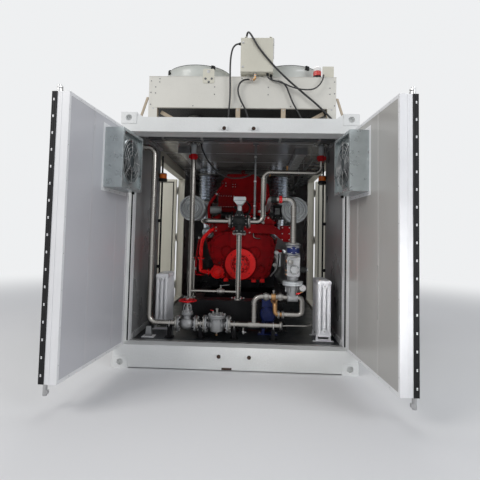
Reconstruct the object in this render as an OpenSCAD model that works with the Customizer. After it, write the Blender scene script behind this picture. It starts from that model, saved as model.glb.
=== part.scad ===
// Containerised gas engine generating set with its front doors open.
// Millimetres, +Z up, doors face -Y, the object stands on Z = 0.

/* [Container] */
// Outside width of the container
cont_w = 2438; // [2300:1:2600]
// Outside length of the container
cont_l = 6058; // [5600:1:7000]
// Outside height of the container
cont_h = 2591; // [2500:1:2900]
// Height of the floor above the ground
floor_z = 232; // [200:1:260]
// Thickness of the floor build-up
floor_t = 57; // [30:1:80]
// Width of the insulated wall from its outside rail to its lining
wall_t = 113; // [95:1:125]
// Thickness of the insulated roof
roof_t = 90; // [60:1:110]
// Height of the front header beam
header_h = 151; // [140:1:170]
// Depth of the front sill and header along the container
frame_d = 230; // [225:1:300]
// Pitch of the wall corrugations
wave_pitch = 278; // [200:1:340]
// Depth of the wall corrugations
wave_d = 36; // [20:1:45]
// Depth of a roof corrugation
roof_wave_d = 15; // [8:1:20]

/* [Corner castings] */
// Width of a corner casting across the container
cast_w = 162; // [150:1:180]
// Length of a corner casting along the container
cast_l = 178; // [170:1:190]
// Height of a corner casting
cast_h = 118; // [110:1:130]
// Depth of the apertures in a corner casting
cast_hole_d = 40; // [20:1:50]

/* [Front doors] */
// Opening angle that the front doors are shown at
door_open = 95; // [90:1:100]
// Thickness of the insulated lining of a front door
lining_t = 95; // [70:1:100]
// Thickness of the steel outer door
steel_t = 40; // [30:1:45]
// Gap between the hinge line and the edge of a leaf
hinge_gap = 26; // [24:1:30]
// Gap between the two leaves when they are closed
meeting_gap = 32; // [28:1:40]
// Clearance above and below a leaf
leaf_gap = 8; // [6:1:12]
// Diameter of a hinge pin
pin_d = 18; // [12:1:20]
// Diameter of a lock rod
rod_d = 34; // [25:1:40]
// Distance of a lock rod from the middle of the front
rod_x = 150; // [120:1:300]

/* [Door fan boxes] */
// Width of the fan box along its door
fanbox_w = 470; // [400:1:600]
// Height of the fan box
fanbox_h = 534; // [450:1:600]
// Depth of the fan box from the door lining
fanbox_d = 172; // [150:1:175]
// Height of the underside of the fan box
fanbox_z = 1742; // [1600:1:1800]
// Diameter of the door fan
doorfan_d = 400; // [300:1:420]

/* [Side doors] */
// Distance of the near side of a side doorway from the front
side_y = 1300; // [1200:1:1500]
// Clear width of a side doorway
side_w = 1838; // [1700:1:1900]
// Height of the top of a side doorway
side_top = 2340; // [2200:1:2380]
// Height of the side doorway threshold above the floor
side_step = 30; // [20:1:60]
// Thickness of a side door leaf
side_leaf_t = 60; // [40:1:70]

/* [Engine] */
// Height of the crankshaft above the ground
crank_z = 938; // [900:1:980]
// Distance of the damper's front face from the container front
engine_y = 1800; // [1760:1:1900]
// Sideways place of the crankshaft
engine_x = -20; // [-60:1:60]
// Diameter of the crankshaft damper
damper_d = 446; // [380:1:480]
// Height of the engine skid above the floor
skid_h = 343; // [300:1:360]
// Width of the engine skid
skid_w = 1160; // [1000:1:1300]
// Distance of the front end of the skid from the container front
skid_y = 760; // [740:1:790]
// Length of the skid
skid_l = 4180; // [4000:1:4500]
// Diameter of an intake air filter
filter_d = 380; // [320:1:420]
// Diameter of an exhaust bellows
bellows_d = 300; // [240:1:320]

/* [Pipework] */
// Distance of the gas train from the container front
train_y = 355; // [350:1:380]
// Height of the lower gas run
run_z = 384; // [370:1:400]
// Height of the upper gas line
line_z = 690; // [670:1:720]
// Diameter of the gas pipe
gas_d = 60; // [40:1:66]
// Diameter of the cooling water pipe
water_d = 60; // [42:1:66]
// Distance of the cooling pipes from the container front
water_y = 860; // [850:1:900]
// Sideways place of the gas valve stack
stack_x = 600; // [560:1:640]
// Diameter of the gate valve handwheel
wheel_d = 200; // [160:1:220]
// Height of the handwheel rim
wheel_z = 628; // [615:1:650]

/* [Roof cooler] */
// Width of the cooler casing
cooler_w = 2150; // [2000:1:2200]
// Length of the cooler casing
cooler_l = 2150; // [2000:1:2300]
// Distance of the cooler from the container front
cooler_y = 500; // [400:1:600]
// Height of the cooler legs above the roof
leg_h = 225; // [180:1:280]
// Height of the casing panels
casing_h = 367; // [300:1:420]
// Diameter of a fan shroud
shroud_d = 800; // [700:1:860]
// Height of a fan shroud above the casing
shroud_h = 180; // [120:1:200]
// Distance of the fans from the middle of the cooler
fan_x = 560; // [520:1:570]
// Width of the roof control box
ctrl_w = 370; // [300:1:420]
// Height of the roof control box
ctrl_h = 400; // [300:1:450]
// Depth of the roof control box
ctrl_d = 150; // [120:1:155]

/* [Hidden] */
$fn = 48;

half_w = cont_w / 2;
rail_in = 6;
rail_x = half_w - rail_in;
lining_x = rail_x - wall_t;
sill_z = 12;
header_z = cont_h - 49 - header_h;
header_top = cont_h - 49;
ceiling_z = header_z + 89;
roof_top = ceiling_z + roof_t;
rail_top = cont_h - 15;
post_w = 106;
front_y = 6;
rear_y = cont_l - frame_d;
post_y = frame_d - 88;

pivot_x = half_w - 5;
pivot_y = 30;
steel_v = -28;
lining_v = steel_v + steel_t;
inner_v = lining_v + lining_t;
leaf_end = pivot_x - meeting_gap / 2;
leaf_z0 = floor_z + leaf_gap;
leaf_z1 = header_z - leaf_gap;
gasket_t = 8;
rod_u = pivot_x - rod_x;
rod_v = steel_v - rod_d / 2 - 8;
front_reach = pivot_y + min(inner_v * cos(door_open) - (leaf_end - gasket_t) * sin(door_open),
    lining_v * cos(door_open) - leaf_end * sin(door_open));
y_mid = (cont_l + front_reach) / 2;

fanbox_u = 125;
side_y1 = side_y + side_w;
side_pivot = half_w + 3;
side_edge = 10;
side_pin_d = 10;
side_reach = side_w / 2 - 7;
side_face = 12;
side_z0 = floor_z + side_step;

skid_top = floor_z + skid_h;
water_z = 1515;
water_left = -590;
water_right = 277;
water_cx = -8;
cooler_z = rail_top + leg_h;
cooler_top = cooler_z + casing_h;
cooler_y1 = cooler_y + cooler_l;
fan_y = [cooler_y + cooler_l / 2 - 560, cooler_y + cooler_l / 2 + 560];
seat = 0.3;

// Cable routes: round points chosen along the real cables
cable_left_pts = [[-18, 500, 3557], [-48, 500, 3557], [-80, 497, 3545], [-108, 488, 3508], [-124, 476, 3450],
    [-133, 462, 3370], [-136, 450, 3270], [-134, 445, 3150], [-131, 447, 3020], [-132, 452, 2890],
    [-140, 460, 2760], [-148, 468, 2650], [-150, 470, 2572]];
cable_diagonal_pts = [[40, 505, 3590], [40, 505, 3615], [44, 493, 3645], [54, 460, 3667], [70, 425, 3658],
    [92, 400, 3622], [125, 392, 3565], [175, 392, 3480], [260, 394, 3370], [380, 405, 3240],
    [520, 425, 3110], [680, 448, 2980], [840, 462, 2850], [960, 470, 2740], [1050, 475, 2640], [1070, 478, 2572]];
cable_loop_pts = [[88, 455, 3120], [58, 455, 3120], [15, 452, 3108], [-22, 450, 3072], [-40, 450, 3015],
    [-35, 451, 2950], [-5, 454, 2870], [38, 458, 2790], [72, 463, 2700], [88, 466, 2630], [92, 468, 2572]];
cable_box_pts = [[332, 490, 3190], [332, 490, 3165], [346, 482, 3130], [385, 472, 3112], [430, 466, 3106],
    [474, 462, 3082], [512, 460, 3030], [544, 460, 2950], [582, 461, 2860], [634, 463, 2765],
    [690, 466, 2660], [720, 468, 2572]];
cable_beacon_pts = [[290, 450, 3190], [290, 450, 3165], [306, 445, 3132], [345, 436, 3108], [410, 428, 3090],
    [480, 418, 3060], [560, 408, 3022], [650, 404, 2996], [740, 410, 2990], [820, 425, 3010], [878, 440, 3060],
    [912, 450, 3120], [926, 470, 3174], [932, 505, 3198], [932, 539.6, 3199]];
cable_ceiling_pts = [[-500, 900, 2480], [-500, 900, 2450], [-488, 900, 2400], [-450, 900, 2320], [-395, 900, 2235],
    [-325, 900, 2155], [-230, 900, 2088], [-130, 900, 2054], [-30, 898, 2052], [60, 893, 2072], [158, 875, 2118]];

// Engine pipes: X, distance from the pump or the block, Z
coolant_pts = [[-450.3, 0, 813], [-540, 0, 813], [-575, 0, 825], [-594, 0, 860], [-597, 0, 900], [-597, 0, 1170],
    [-592, 0, 1215], [-570, 0, 1295], [-545, 0, 1335], [-462, 0, 1418], [-438, 18, 1436], [-430, 50, 1440],
    [-430, 190, 1440]];
breather_pts = [[-300, 119.7, 2120], [-300, 60, 2120], [-303, 40, 2114], [-318, 30, 2094], [-505, 30, 1830],
    [-521, 30, 1795], [-523, 30, 1750], [-508, 30, 1600], [-505, 34, 1572], [-505, 50, 1559],
    [-505, 64, 1556], [-505, 79.6, 1556]];

module on_site() {
    translate([0, -y_mid, 0]) children();
}

// Box between two opposite corners
module box(a, b) {
    translate(a) cube([b[0] - a[0], b[1] - a[1], b[2] - a[2]]);
}

module both_sides() {
    children();
    mirror([1, 0, 0]) children();
}

function unit(v) = v / norm(v);
function side_of(v) = abs(v[2]) > 0.9 ? [1, 0, 0] : unit(cross([0, 0, 1], v));

// Places children with their Z axis along v at the point p
module along(p, v) {
    z = unit(v);
    x = side_of(z);
    y = cross(z, x);
    multmatrix([[x[0], y[0], z[0], p[0]], [x[1], y[1], z[1], p[1]],
        [x[2], y[2], z[2], p[2]], [0, 0, 0, 1]]) children();
}

// Round bar from a to b
module bar(a, b, d) {
    along(a, b - a) cylinder(d = d, h = norm(b - a));
}

// Pipe along square corners with bends of radius r
module pipe_run(pts, d, r) {
    n = len(pts);
    for (i = [0:n - 2]) {
        v = unit(pts[i + 1] - pts[i]);
        bar(pts[i] + (i > 0 ? r : 0) * v, pts[i + 1] - (i < n - 2 ? r : 0) * v, d);
    }
    if (n > 2) for (i = [1:n - 2]) {
        a = unit(pts[i] - pts[i - 1]);
        b = unit(pts[i + 1] - pts[i]);
        c = pts[i] - r * a + r * b;
        n3 = cross(-b, a);
        multmatrix([[-b[0], a[0], n3[0], c[0]], [-b[1], a[1], n3[1], c[1]],
            [-b[2], a[2], n3[2], c[2]], [0, 0, 0, 1]])
            rotate_extrude(angle = 90) translate([r, 0]) circle(d = d);
    }
}

// Tube with s sides swept along the points of a route that never runs along ref
module cable(pts, d, s = 8, ref = [0, 1, 0.01]) {
    n = len(pts);
    dirs = [for (i = [0:n - 1]) unit(pts[min(i + 1, n - 1)] - pts[max(i - 1, 0)])];
    rings = [for (i = [0:n - 1]) let (x = unit(cross(ref, dirs[i])), y = cross(dirs[i], x))
        for (k = [0:s - 1]) pts[i] + d / 2 * (cos(360 * k / s) * x + sin(360 * k / s) * y)];
    sides = [for (i = [0:n - 2], k = [0:s - 1]) let (a = i * s + k, b = i * s + (k + 1) % s)
        each [[a, b + s, b], [a, a + s, b + s]]];
    ends = [[for (k = [0:s - 1]) k], [for (k = [s - 1:-1:0]) (n - 1) * s + k]];
    polyhedron(points = rings, faces = concat(sides, ends), convexity = 4);
}

// Corner casting with its outer corner at the origin, reaching inward
module casting(top) {
    difference() {
        cube([cast_w, cast_l, cast_h]);
        translate([cast_w / 2, -1, cast_h / 2]) rotate([-90, 0, 0])
            cylinder(d = 64, h = cast_hole_d + 1);
        translate([-1, cast_l / 2, cast_h / 2]) rotate([0, 90, 0])
            slot_cut(79, 51, cast_hole_d + 1);
        translate([cast_w / 2, cast_l / 2, top ? cast_h - cast_hole_d : -1]) rotate([0, 0, 90])
            slot_cut(124, 64, cast_hole_d + 1);
    }
}

// Slot with round ends, long along Y
module slot_cut(l, w, h) {
    for (s = [-1, 1]) translate([0, s * (l - w) / 2, 0]) cylinder(d = w, h = h);
    translate([-w / 2, -(l - w) / 2, 0]) cube([w, l - w, h]);
}

module left_castings(y0) {
    for (top = [0, 1]) translate([-half_w, y0, top * (cont_h - cast_h)]) casting(top == 1);
}

module casting_room(z0) {
    both_sides() box([-half_w - 1, -1, z0], [-half_w + cast_w, cast_l, z0 + cast_h]);
}

// Keeper that a lock rod's cam enters
module keeper(x, z) {
    for (s = [-1, 1]) box([x + s * 26 - 6, -22, z - 20], [x + s * 26 + 6, front_y, z + 20]);
}

module front_sill() {
    color("white") on_site() {
        difference() {
            box([-rail_x, front_y, sill_z], [rail_x, frame_d, floor_z]);
            casting_room(0);
        }
        both_sides() translate([-half_w, 0, 0]) casting(false);
        for (s = [-1, 1]) keeper(s * rod_x, sill_z + 128);
    }
}

module front_header() {
    color("white") on_site() {
        difference() {
            box([-rail_x, front_y, header_z], [rail_x, frame_d, header_top]);
            casting_room(cont_h - cast_h);
        }
        both_sides() translate([-half_w, 0, cont_h - cast_h]) casting(true);
        for (s = [-1, 1]) keeper(s * rod_x, header_z + 42);
    }
}

module rear_frame() {
    color("white") on_site() {
        difference() {
            box([-rail_x, rear_y, sill_z], [rail_x, cont_l - front_y, header_top]);
            box([-rail_x + wall_t, rear_y - 1, floor_z], [rail_x - wall_t, cont_l, header_z]);
            translate([0, cont_l, 0]) mirror([0, 1, 0]) {
                casting_room(0);
                casting_room(cont_h - cast_h);
            }
        }
        translate([0, cont_l, 0]) mirror([0, 1, 0]) both_sides() left_castings(0);
    }
}

// Heights of the four hinges of a front door
function hinge_z(i) = leaf_z0 + 200 + i * (leaf_z1 - leaf_z0 - 400) / 3;

module front_post() {
    box([-rail_x, post_y, floor_z], [-rail_x + post_w, frame_d, header_z]);
    for (i = [0:3]) for (s = [-1, 1]) translate([0, 0, hinge_z(i) + s * 42 - 10]) difference() {
        union() {
            translate([-pivot_x, pivot_y, 0]) cylinder(r = 18, h = 20);
            box([-pivot_x - 5, pivot_y, 0], [-pivot_x + 18, post_y, 20]);
        }
        translate([-pivot_x, pivot_y, -1]) cylinder(d = pin_d + 1, h = 22);
    }
}

module left_front_post() {
    color("white") on_site() front_post();
}

module right_front_post() {
    color("white") on_site() mirror([1, 0, 0]) front_post();
}

// Bottom side rail section, an outward channel
module rail_section() {
    polygon([[-rail_x, 17], [-lining_x, 17], [-lining_x, floor_z], [-rail_x, floor_z],
        [-rail_x, floor_z - 60], [-rail_x + 45, floor_z - 68], [-rail_x + 45, 33], [-rail_x, 25]]);
}

// Extrudes a section drawn in X and Z along the container
module along_y(y0, y1) {
    translate([0, y1, 0]) rotate([90, 0, 0]) linear_extrude(y1 - y0) children();
}

cross_n = 14;

module base_frame() {
    color("white") on_site() {
        both_sides() along_y(frame_d, rear_y) rail_section();
        for (i = [0:cross_n - 1]) {
            y = frame_d + (i + 0.5) * (rear_y - frame_d) / cross_n;
            box([-lining_x, y - 25, 40], [lining_x, y + 25, floor_z - floor_t]);
        }
    }
}

module floor_plate() {
    color("dimgray") on_site()
        box([-lining_x, frame_d, floor_z - floor_t], [lining_x, rear_y, floor_z]);
}

module top_rails() {
    color("white") on_site() both_sides()
        box([-rail_x, frame_d, ceiling_z], [-lining_x, rear_y, rail_top]);
}

// One roof wave as a stretch of section in Y and Z
function roof_wave(y, p) = [[y, 0], [y + p * 0.2, roof_wave_d], [y + p * 0.5, roof_wave_d],
    [y + p * 0.7, 0]];

module roof_panel() {
    waves = floor((rear_y - frame_d - 200) / 260);
    p = (rear_y - frame_d) / waves;
    color("white") on_site() translate([-lining_x, 0, 0]) rotate([90, 0, 90])
        linear_extrude(2 * lining_x) translate([0, roof_top - roof_wave_d]) polygon(concat(
            [[frame_d, roof_wave_d - roof_t]], [for (i = [0:waves - 1]) each roof_wave(frame_d + i * p, p)],
            [[rear_y, 0], [rear_y, roof_wave_d - roof_t]]));
}

// Corrugated outside of the left wall between y0 and y1, in plan
function wall_waves(y0, y1) = let (n = max(1, floor((y1 - y0) / wave_pitch)), p = (y1 - y0) / n)
    [for (i = [0:n - 1]) each [[-rail_x, y0 + i * p], [-rail_x, y0 + i * p + p * 0.26],
        [-rail_x + wave_d, y0 + i * p + p * 0.5], [-rail_x + wave_d, y0 + i * p + p * 0.76]]];

module wall_panel(y0, y1) {
    translate([0, 0, floor_z]) linear_extrude(ceiling_z - floor_z) polygon(concat(
        wall_waves(y0, y1), [[-rail_x, y1], [-lining_x, y1], [-lining_x, y0]]));
}

jamb_w = 44;

// Heights of the three hinges of a side leaf
function side_hinge_z(i) = side_z0 + 208 + i * (side_top - side_z0 - 416) / 2;

// Hinge lugs of one jamb, around the hinge line at y
module side_lugs(y) {
    for (i = [0:2]) for (s = [-1, 1]) translate([-side_pivot, y, side_hinge_z(i) + s * 58 - 10]) difference() {
        union() {
            cylinder(r = 9, h = 20);
            box([0, -8, 0], [side_pivot - rail_x, 8, 20]);
        }
        translate([0, 0, -1]) cylinder(d = side_pin_d + 0.6, h = 22);
    }
}

module doorway_frame() {
    difference() {
        box([-rail_x, side_y - jamb_w, floor_z], [-lining_x, side_y1 + jamb_w, ceiling_z]);
        box([-rail_x - 1, side_y, side_z0], [-lining_x + 1, side_y1, side_top]);
    }
    side_lugs(side_y - 4);
    side_lugs(side_y1 + 4);
}

module left_wall_front() {
    color("whitesmoke") on_site() wall_panel(frame_d, side_y - jamb_w);
}

module left_wall_rear() {
    color("whitesmoke") on_site() wall_panel(side_y1 + jamb_w, rear_y);
}

module left_doorway() {
    color("ivory") on_site() doorway_frame();
}

module right_wall_front() {
    color("whitesmoke") on_site() mirror([1, 0, 0]) wall_panel(frame_d, side_y - jamb_w);
}

module right_wall_rear() {
    color("whitesmoke") on_site() mirror([1, 0, 0]) wall_panel(side_y1 + jamb_w, rear_y);
}

module right_doorway() {
    color("ivory") on_site() mirror([1, 0, 0]) doorway_frame();
}

module rear_wall() {
    w = rail_x - wall_t;
    n = floor(2 * w / wave_pitch);
    p = 2 * w / n;
    y1 = cont_l - front_y - 20;
    color("whitesmoke") on_site() translate([0, 0, floor_z])
        linear_extrude(header_z - floor_z) polygon(concat([[-w, y1 - wall_t]],
            [for (i = [0:n - 1]) each [[-w + i * p, y1], [-w + (i + 0.26) * p, y1],
                [-w + (i + 0.5) * p, y1 - wave_d], [-w + (i + 0.76) * p, y1 - wave_d]]],
            [[w, y1], [w, y1 - wall_t]]));
}

// Puts a leaf drawn closed, with its hinge line at the origin, where it stands open
module hang_left() {
    on_site() translate([-pivot_x, pivot_y, 0]) rotate([0, 0, -door_open]) children();
}

module hang_right() {
    mirror([1, 0, 0]) hang_left() children();
}

module door_leaf() {
    box([hinge_gap, lining_v, leaf_z0], [leaf_end - gasket_t, inner_v, leaf_z1]);
    box([hinge_gap, steel_v, leaf_z0], [leaf_end - gasket_t, lining_v, leaf_z1]);
    for (i = [0:3]) translate([0, 0, hinge_z(i) - 30]) {
        cylinder(r = 17, h = 60);
        translate([0, -8, 0]) cube([hinge_gap, 16, 60]);
    }
    for (i = [0:3]) translate([0, 0, hinge_z(i) - 56]) cylinder(d = pin_d, h = 112);
}

module door_gasket() {
    box([leaf_end - gasket_t, steel_v, leaf_z0], [leaf_end, lining_v, leaf_z1]);
}

module door_lock() {
    translate([rod_u, rod_v, sill_z + 100]) cylinder(d = rod_d, h = header_z - sill_z - 20);
    for (z = [sill_z + 128, header_z + 42]) box([rod_u - 12, rod_v, z - 14], [rod_u + 12, rod_v + 26, z + 14]);
    for (i = [0:3]) box([rod_u - 34, steel_v - 16, hinge_z(i) - 30], [rod_u + 34, steel_v, hinge_z(i) + 30]);
    box([rod_u - 420, rod_v - 12, 1180], [rod_u, rod_v + 2, 1220]);
    box([rod_u - 440, rod_v - 12, 1160], [rod_u - 400, steel_v, 1240]);
}

// Open sheet housing with the fan ring and motor inside it
module fan_box() {
    t = 12;
    u1 = fanbox_u + fanbox_w;
    v1 = inner_v + fanbox_d;
    difference() {
        box([fanbox_u, inner_v, fanbox_z], [u1, v1, fanbox_z + fanbox_h]);
        box([fanbox_u + t, inner_v + t, fanbox_z + t], [u1 - t, v1 + 1, fanbox_z + fanbox_h - t]);
    }
    difference() {
        box([fanbox_u + t, v1 - 40, fanbox_z + t], [u1 - t, v1 - 34, fanbox_z + fanbox_h - t]);
        translate([(fanbox_u + u1) / 2, v1 - 60, fanbox_z + fanbox_h / 2]) rotate([-90, 0, 0])
            cylinder(d = doorfan_d, h = 60);
    }
    translate([(fanbox_u + u1) / 2, inner_v + t, fanbox_z + fanbox_h / 2]) rotate([-90, 0, 0]) {
        cylinder(d = 130, h = 80);
        cylinder(d = 60, h = 110);
    }
}

module left_door_leaf() {
    color("gainsboro") hang_left() door_leaf();
}

module left_door_gasket() {
    color("black") hang_left() door_gasket();
}

module left_door_lock() {
    color("silver") hang_left() door_lock();
}

module left_fan_box() {
    color("lightsteelblue") hang_left() fan_box();
}

module right_door_leaf() {
    color("gainsboro") hang_right() door_leaf();
}

module right_door_gasket() {
    color("black") hang_right() door_gasket();
}

module right_door_lock() {
    color("silver") hang_right() door_lock();
}

module right_fan_box() {
    color("lightsteelblue") hang_right() fan_box();
}

// Side leaf standing open at the near jamb of the left doorway
module side_leaf() {
    z0 = side_z0 + leaf_gap;
    z1 = side_top - leaf_gap;
    translate([-side_pivot, side_y - 4, 0]) {
        box([-side_reach, side_face, z0], [-side_edge, side_face + side_leaf_t, z1]);
        for (i = [0:2]) translate([0, 0, side_hinge_z(i)]) {
            cylinder(d = 16, h = 90, center = true);
            cylinder(d = side_pin_d, h = 138, center = true);
            box([-side_edge - 34, -4, -45], [0, 4, 45]);
            box([-side_edge - 34, 3, -45], [-side_edge - 4, side_face, 45]);
        }
    }
}

module far_leaf() {
    translate([0, side_y + side_y1, 0]) mirror([0, 1, 0]) side_leaf();
}

module left_side_door_near() {
    color("ivory") on_site() side_leaf();
}

module left_side_door_far() {
    color("ivory") on_site() far_leaf();
}

module right_side_door_near() {
    color("ivory") on_site() mirror([1, 0, 0]) side_leaf();
}

module right_side_door_far() {
    color("ivory") on_site() mirror([1, 0, 0]) far_leaf();
}

skid_t = 16;
rail_web = 66;
rail_flange = 120;
run_support_x = [-720, -382, -20, 400];

module engine_skid() {
    y1 = skid_y + skid_l;
    color("black") on_site() {
        both_sides() {
            box([-skid_w / 2, skid_y, floor_z], [-skid_w / 2 + rail_flange, y1, floor_z + skid_t]);
            box([-skid_w / 2, skid_y, skid_top - skid_t], [-skid_w / 2 + rail_flange, y1, skid_top]);
            box([-skid_w / 2 + rail_web - skid_t, skid_y, floor_z + skid_t],
                [-skid_w / 2 + rail_web, y1, skid_top - skid_t]);
        }
        for (y = [skid_y, skid_y + 900, skid_y + 2050, skid_y + 3100, y1 - skid_t])
            box([-skid_w / 2 + rail_web + seat, y, floor_z + skid_t + seat],
                [skid_w / 2 - rail_web - seat, y + skid_t, skid_top - skid_t - seat]);
        box([-skid_w / 2 + rail_flange + seat, skid_y, skid_top - skid_t],
            [skid_w / 2 - rail_flange - seat, skid_y + 260, skid_top]);
        for (x = run_support_x) translate([x, train_y, floor_z]) run_support();
    }
}

// Stand under the lower gas run
module run_support() {
    saddle_z = run_z - gas_d / 2 - seat - floor_z;
    box([-45, -45, 0], [45, 45, 8]);
    box([-20, -20, 8], [20, 20, saddle_z - 6]);
    box([-24, -40, saddle_z - 10], [24, 40, saddle_z]);
}

block_y = engine_y + 175;
cover_t = 90;
cover_y = block_y - seat - cover_t;
nose_d = 70;
block_l = 1750;

// Crankcase and sump section, drawn in X and Z about the crankshaft
module block_section() {
    difference() {
        polygon([[-250, -350], [250, -350], [330, -250], [390, -60], [470, 120], [560, 560],
            [0, 760], [-560, 560], [-470, 120], [-390, -60], [-330, -250]]);
        for (s = [-1, 1]) rotate(-s * bank_angle) translate([-700, bank_z]) square([1400, 900]);
    }
}

module engine_block() {
    color("firebrick") on_site() {
        translate([engine_x, 0, crank_z]) along_y(block_y, block_y + block_l) block_section();
        for (y = [block_y + 100, block_y + block_l - 260]) for (s = [-1, 1])
            box([engine_x + s * 410 - 90, y, skid_top + seat], [engine_x + s * 410 + 90, y + 140, crank_z + 40]);
    }
}

// Front gear housing outline about the crankshaft
module gear_outline() {
    hull() {
        translate([-300, 190]) circle(r = 140, $fn = 32);
        translate([300, 190]) circle(r = 140, $fn = 32);
        translate([0, 240]) circle(r = 190, $fn = 32);
        translate([-220, -120]) circle(r = 100, $fn = 32);
        translate([230, -120]) circle(r = 110, $fn = 32);
    }
}

module gear_cover() {
    color("red") on_site() translate([engine_x, block_y - seat, crank_z]) rotate([90, 0, 0]) difference() {
        union() {
            linear_extrude(cover_t) gear_outline();
            translate([0, 0, cover_t]) cylinder(r = 150, h = 25);
            translate([190, 150, cover_t]) cylinder(r = 80, h = 22);
            translate([-200, 170, cover_t]) cylinder(r = 70, h = 18);
            translate([300, -60, cover_t]) cylinder(r = 45, h = 30);
        }
        translate([0, 0, cover_t - 40]) cylinder(d = nose_d + 2 * seat, h = 80);
    }
}

module crank_damper() {
    color("crimson") on_site() translate([engine_x, engine_y + 55, crank_z]) rotate([90, 0, 0]) {
        difference() {
            cylinder(d = damper_d, h = 55);
            translate([0, 0, 43]) cylinder(d = damper_d * 0.55, h = 20);
            for (a = [0:60:300]) rotate([0, 0, a]) translate([damper_d * 0.2, 0, -1]) cylinder(d = 18, h = 60);
        }
        translate([0, 0, 35]) cylinder(d = 90, h = 25);
        translate([0, 0, -60]) cylinder(d = nose_d, h = 70);
    }
}

bank_angle = 32;
bank_z = 520;

module cylinder_banks() {
    color("firebrick") on_site() {
        translate([engine_x, 0, crank_z]) for (s = [-1, 1]) rotate([0, s * bank_angle, 0]) {
            box([-130, block_y + 60, bank_z + seat], [130, block_y + block_l - 60, 740]);
            for (i = [0:5]) box([-105, block_y + 80 + i * 272, 740], [105, block_y + 320 + i * 272, 800]);
        }
    }
}

plenum_x = 300;
plenum_x1 = 410;
plenum_z = crank_z + 740;

module intake_housing() {
    y0 = block_y + 120;
    color("firebrick") on_site() translate([engine_x, 0, 0]) {
        along_y(y0, y0 + 900) polygon([[-plenum_x, plenum_z], [-plenum_x, crank_z + 870],
            [-plenum_x - 50, crank_z + 1000],
            [-320, crank_z + 1215], [-232, crank_z + 1350], [190, crank_z + 1350], [plenum_x1 - 20, crank_z + 1195],
            [plenum_x1, crank_z + 900], [plenum_x1, plenum_z]]);
        box([-90, y0 + 60, crank_z + bank_z / cos(bank_angle) + seat], [90, y0 + 800, plenum_z]);
        box([-355, y0 - 130, 1787], [-125, y0 - seat, 1925]);
    }
    color("firebrick") on_site() water_rail();
}

rail_y = block_y - 155;

// Cast water rail across the front of the engine, with its end housing
module water_rail() {
    translate([0, rail_y + 100, 0]) rotate([90, 0, 0]) linear_extrude(100)
        polygon([[-60, 1385], [-60, 1500], [120, 1514], [430, 1514], [545, 1440], [545, 1503], [690, 1503],
            [690, 1273], [600, 1273], [470, 1375], [380, 1390]]);
    box([150, rail_y + 99, 1400], [330, block_y - seat, 1500]);
}

module water_pump() {
    color("red") on_site() {
        translate([engine_x - 335, cover_y - seat, crank_z - 125]) rotate([90, 0, 0]) cylinder(r = 95, h = 60);
        translate([0, cover_y - 40, 0]) cable(coolant_pts, 54, 16, [1, -1, 0.3]);
        translate([0, block_y, 0]) cable(breather_pts, 44, 16, [1, -0.4, 1]);
    }
}

filter_x = 760;
filter_y = engine_y + 150;
filter_z = 1745;
duct_d = 110;

module air_filters() {
    color("gray") on_site() for (s = [-1, 1]) translate([s * filter_x, filter_y, filter_z]) rotate([-90, 0, 0]) {
        cylinder(d = filter_d, h = 30);
        translate([0, 0, 30]) cylinder(d = filter_d - 40, h = 420);
    }
    color("gray") on_site() {
        y = filter_y + 320;
        bar([-filter_x, y, filter_z], [engine_x - plenum_x - seat, y, filter_z], duct_d);
        bar([filter_x, y, filter_z], [engine_x + plenum_x1 + seat, y, filter_z], duct_d);
    }
}

riser_x = 600;
riser_z = 1900;

module exhaust_bellows() {
    n = 9;
    y = engine_y + 900;
    color("slategray") on_site() for (s = [-1, 1]) {
        translate([engine_x, 0, crank_z]) rotate([0, s * bank_angle, 0])
            bar([s * (205 + seat), block_y + 80, 660], [s * (205 + seat), y, 660], 150);
        translate([engine_x + s * riser_x, y, 0]) {
            translate([0, 0, crank_z + 450]) cylinder(d = 150, h = riser_z - crank_z - 450);
            for (i = [0:n - 1]) translate([0, 0, riser_z + i * 50]) {
                cylinder(d = bellows_d, h = 28);
                translate([0, 0, 28]) cylinder(d = bellows_d - 40, h = 22);
            }
            translate([0, 0, riser_z + n * 50]) cylinder(d = bellows_d + 60, h = ceiling_z - riser_z - n * 50);
        }
    }
}

module alternator() {
    y0 = block_y + block_l;
    color("darkslategray") on_site() translate([engine_x, 0, crank_z]) {
        along_y(y0, y0 + 120) circle(r = 360);
        along_y(y0 + 120, y0 + 1150) intersection() {
            circle(r = 420);
            square([720, 720], center = true);
        }
        box([-300, y0 + 350, 360], [300, y0 + 1000, 620]);
        for (s = [-1, 1]) box([s * 330 - 70, y0 + 250, skid_top + seat - crank_z], [s * 330 + 70, y0 + 1050, -250]);
    }
}

module three_way_valve() {
    color("dimgray") on_site() translate([water_cx, water_y, water_z]) {
        rotate([0, 90, 0]) cylinder(d = 130, h = 190, center = true);
        for (s = [-1, 1]) translate([s * 95, 0, 0]) rotate([0, 90, 0]) cylinder(d = 165, h = 18, center = true);
        translate([0, 0, -120]) cylinder(d = 110, h = 120);
        translate([0, 0, -138]) cylinder(d = 165, h = 18);
        cylinder(d = 70, h = 130);
        translate([0, 0, 130]) cylinder(d = 50, h = 90);
        box([-75, -55, 220], [75, 55, 300]);
    }
}

// Ceiling flange of a water pipe
module ceiling_flange(x) {
    translate([x, water_y, ceiling_z - 16]) cylinder(d = 170, h = 16 - seat);
}

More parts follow.
